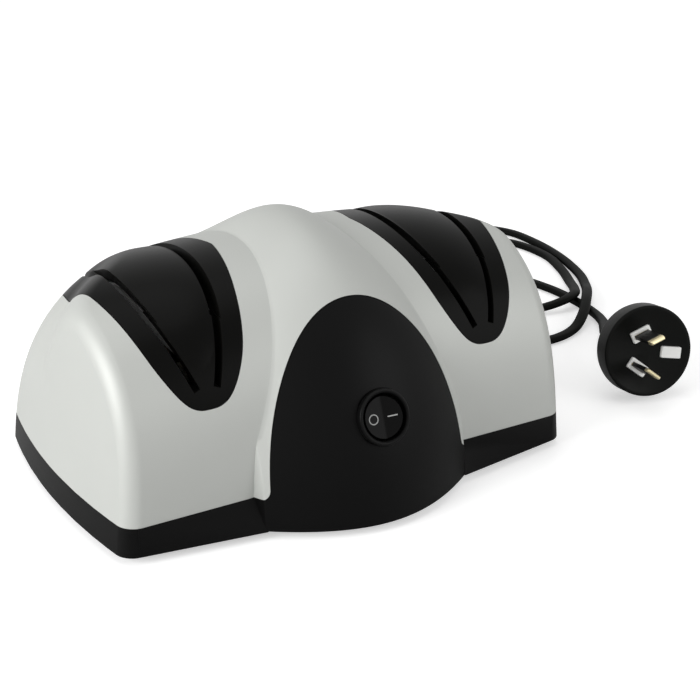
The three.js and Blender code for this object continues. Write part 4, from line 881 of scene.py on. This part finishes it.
def window_tool(centre_x, grow):
    """The insert's outline, seen from 45 degrees above, as a bar bent over the crest from back to front.
    A uniform Catmull-Rom line through the half outline, moved out along its normal and mirrored."""
    line = np.vstack([OUTLINE[1] * (-1, 1), OUTLINE])
    before, after = line[:-1], line[1:]
    leave = (after - np.vstack([line[:1], line[:-2]])) / 2
    arrive = (np.vstack([line[2:], line[-1:]]) - before) / 2
    t = np.linspace(0, 1, 10, endpoint=False)[None, :, None]
    before, after, leave, arrive = (part[:, None] for part in (before, after, leave, arrive))
    curve = (2 * before - 2 * after + leave + arrive) * t**3
    curve += (3 * after - 3 * before - 2 * leave - arrive) * t**2
    curve = np.vstack([(curve + leave * t + before).reshape(-1, 2), line[-1]])
    curve = curve[curve[:, 0] > 0.01]
    along = np.vstack([curve[1:], curve[-1:]]) - np.vstack([curve[:1], curve[:-1]])
    along /= np.linalg.norm(along, axis=1)[:, None]
    right = curve + grow * np.column_stack([along[:, 1], -along[:, 0]])
    outline = np.vstack([[(0, -3 - grow)], right, right[::-1] * (-1, 1)])
    across, up = outline.T
    reach = 130.0
    rings = [
        np.column_stack([across, (reach - up) / 2**0.5, (reach + up) / 2**0.5]),
        np.column_stack([across, 0 * up, 2**0.5 * up]),
        np.column_stack([across, (up - reach) / 2**0.5, (reach + up) / 2**0.5]),
    ]
    return tool(np.array(rings) + (centre_x, 0, 0))


def slab_tool(centre_x, side, offset, width, half_length, z0, z1):
    """A bare slab along Y that leans with a knife slot, moved across itself by an offset."""
    height = (z1 - z0) / np.cos(SLOT_LEAN)
    half = width / 2
    ring = np.array([(-half, 0), (half, 0), (half, height), (-half, height)]) + (offset, 0)
    turn = side * SLOT_LEAN
    x = ring[:, 0] * np.cos(turn) + ring[:, 1] * np.sin(turn)
    z = -ring[:, 0] * np.sin(turn) + ring[:, 1] * np.cos(turn)
    foot = SLOT_SPACING / 2 + (z0 - SLOT_BOTTOM) * np.tan(SLOT_LEAN)
    outline = np.column_stack([x + centre_x + side * foot, z + z0])
    return tool(upright_rings(outline, (-half_length, half_length)))


def wing_skin_at(real_x, angle):
    """The wing's skin at a real x: the x before bow and draft is corrected six times."""
    rounding = rounding_at(angle)
    x = np.array(real_x, float)
    for _ in range(6):
        turned = np.clip((np.abs(x) - WING_HALF_LENGTH + rounding) / rounding, 0, 1)
        point = body_point(x, angle, wing_reach(angle, x) - rounding * (1 - np.sqrt(1 - turned**2)))
        x = x + real_x - point[..., 0]
    return point


def wedge_tool(centre_x):
    """The wedge between the slots: the skin raised by 1 - along^2, fading out at the slots' bottoms."""
    low, high = 0.0, np.pi / 2
    for _ in range(36):
        middle = (low + high) / 2
        low, high = (middle, high) if wing_skin_at(centre_x, middle)[2] < SLOT_BOTTOM else (low, middle)
    angle = np.linspace(low, np.pi - low, 97)[:, None]
    height = wing_skin_at(np.full_like(angle, centre_x), angle)[..., 2]
    half = np.maximum(SLOT_SPACING / 2 + (height - SLOT_BOTTOM) * np.tan(SLOT_LEAN), 1.5)
    along = np.linspace(-1, 1, 25)[None, :]
    skin = wing_skin_at(centre_x + along * half, np.broadcast_to(angle, (97, 25)))
    outward = skin * (0, 1, 1)
    outward /= np.linalg.norm(outward, axis=-1)[..., None]
    rise = (1 - along**2) * smoothstep(height, SLOT_BOTTOM, SLOT_STEP) - 0.2
    outer, below = skin + outward * rise[..., None], skin - outward * 2.5
    return tool(np.concatenate([outer, below[:, ::-1]], axis=1))


insert_gloss = moulded(
    "glossy_black_insert", "#070706", "#0a0a09", 0.3, 0.7, 0.006, 0.04, Specular_IOR_Level=0.045
)
for label, centre_x in (("coarse", -STAGE_X), ("fine", STAGE_X)):
    under = COVER_WALL + SHELL_GAP
    insert = mesh_object("slot_insert_" + label, *skin_over(body_rings(hump=False)), insert_gloss)
    skin_window, flange_window = window_tool(centre_x, -SHELL_GAP), window_tool(centre_x, 3.5)
    flange = tool(body_rings(under, hump=False, turns=96))
    carve(flange, ("INTERSECT", flange_window))
    carve(
        insert,
        ("INTERSECT", skin_window),
        ("UNION", flange),
        ("DIFFERENCE", tool(body_rings(under + 2, hump=False, turns=96))),
        ("UNION", wedge_tool(centre_x)),
    )
    for side in (-1, 1):
        for offset in (-2.8, 2.8):
            guide = slab_tool(centre_x, side, offset, 1.8, 36, 63, 74)
            carve(guide, ("INTERSECT", tool(body_rings(under, hump=False, turns=72))))
            carve(insert, ("UNION", guide))
    carve(
        insert,
        *[("DIFFERENCE", slab_tool(centre_x, side, 0, 2.5, 75, SLOT_BOTTOM, 175)) for side in (-1, 1)],
        *[("DIFFERENCE", slab_tool(centre_x, side, 0, 3.4, 75, SLOT_STEP, 175)) for side in (-1, 1)],
        ("DIFFERENCE", box_tool(-200, 200, -200, 200, -1, SPLIT_HEIGHT + LIP_RISE + SHELL_GAP)),
    )
    shade_by_skin(insert, False)
    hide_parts("insert_" + label)
    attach(insert, "housing")

# Cover: one ABS shell in satin silver paint, closed on the base from above and screwed from below.
# The front arch takes the nose, and two windows take the inserts.
silver_paint = moulded(
    "satin_silver_paint", "#b6b8b4", "#bec0bc", 0.5, 0.12, 0.002, 0.05, metallic=0.18, Specular_IOR_Level=0.3
)
cover = mesh_object("cover_shell", *skin_over(body_rings()), silver_paint)
relief_hole = turned_rings([0, CUT_DEPTH], [4.5, 4.5], 48)[..., [0, 2, 1]] + (RELIEF_X, 0, RELIEF_Z)
bosses = [tool(body_rings(COVER_WALL / 2, turns=72)) for _ in BOSSES]
for limit, place in zip(bosses, BOSSES):
    carve(limit, ("INTERSECT", bar_tool(*place, SPLIT_HEIGHT + SHELL_GAP, 88.3, 4)))
carve(
    cover,
    ("DIFFERENCE", tool(body_rings(COVER_WALL, turns=96))),
    ("DIFFERENCE", box_tool(-200, 200, -200, 200, -1, SPLIT_HEIGHT)),
    *[("UNION", boss) for boss in bosses],
    ("DIFFERENCE", arch_tool(SHELL_GAP)),
    ("DIFFERENCE", window_tool(-STAGE_X, 0)),
    ("DIFFERENCE", window_tool(STAGE_X, 0)),
    ("DIFFERENCE", tool(relief_hole)),
    *[("DIFFERENCE", bar_tool(*place, 0, 28.3, 1.8)) for place in BOSSES],
)
shade_by_skin(cover, True)
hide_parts("cover")
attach(cover, "housing")
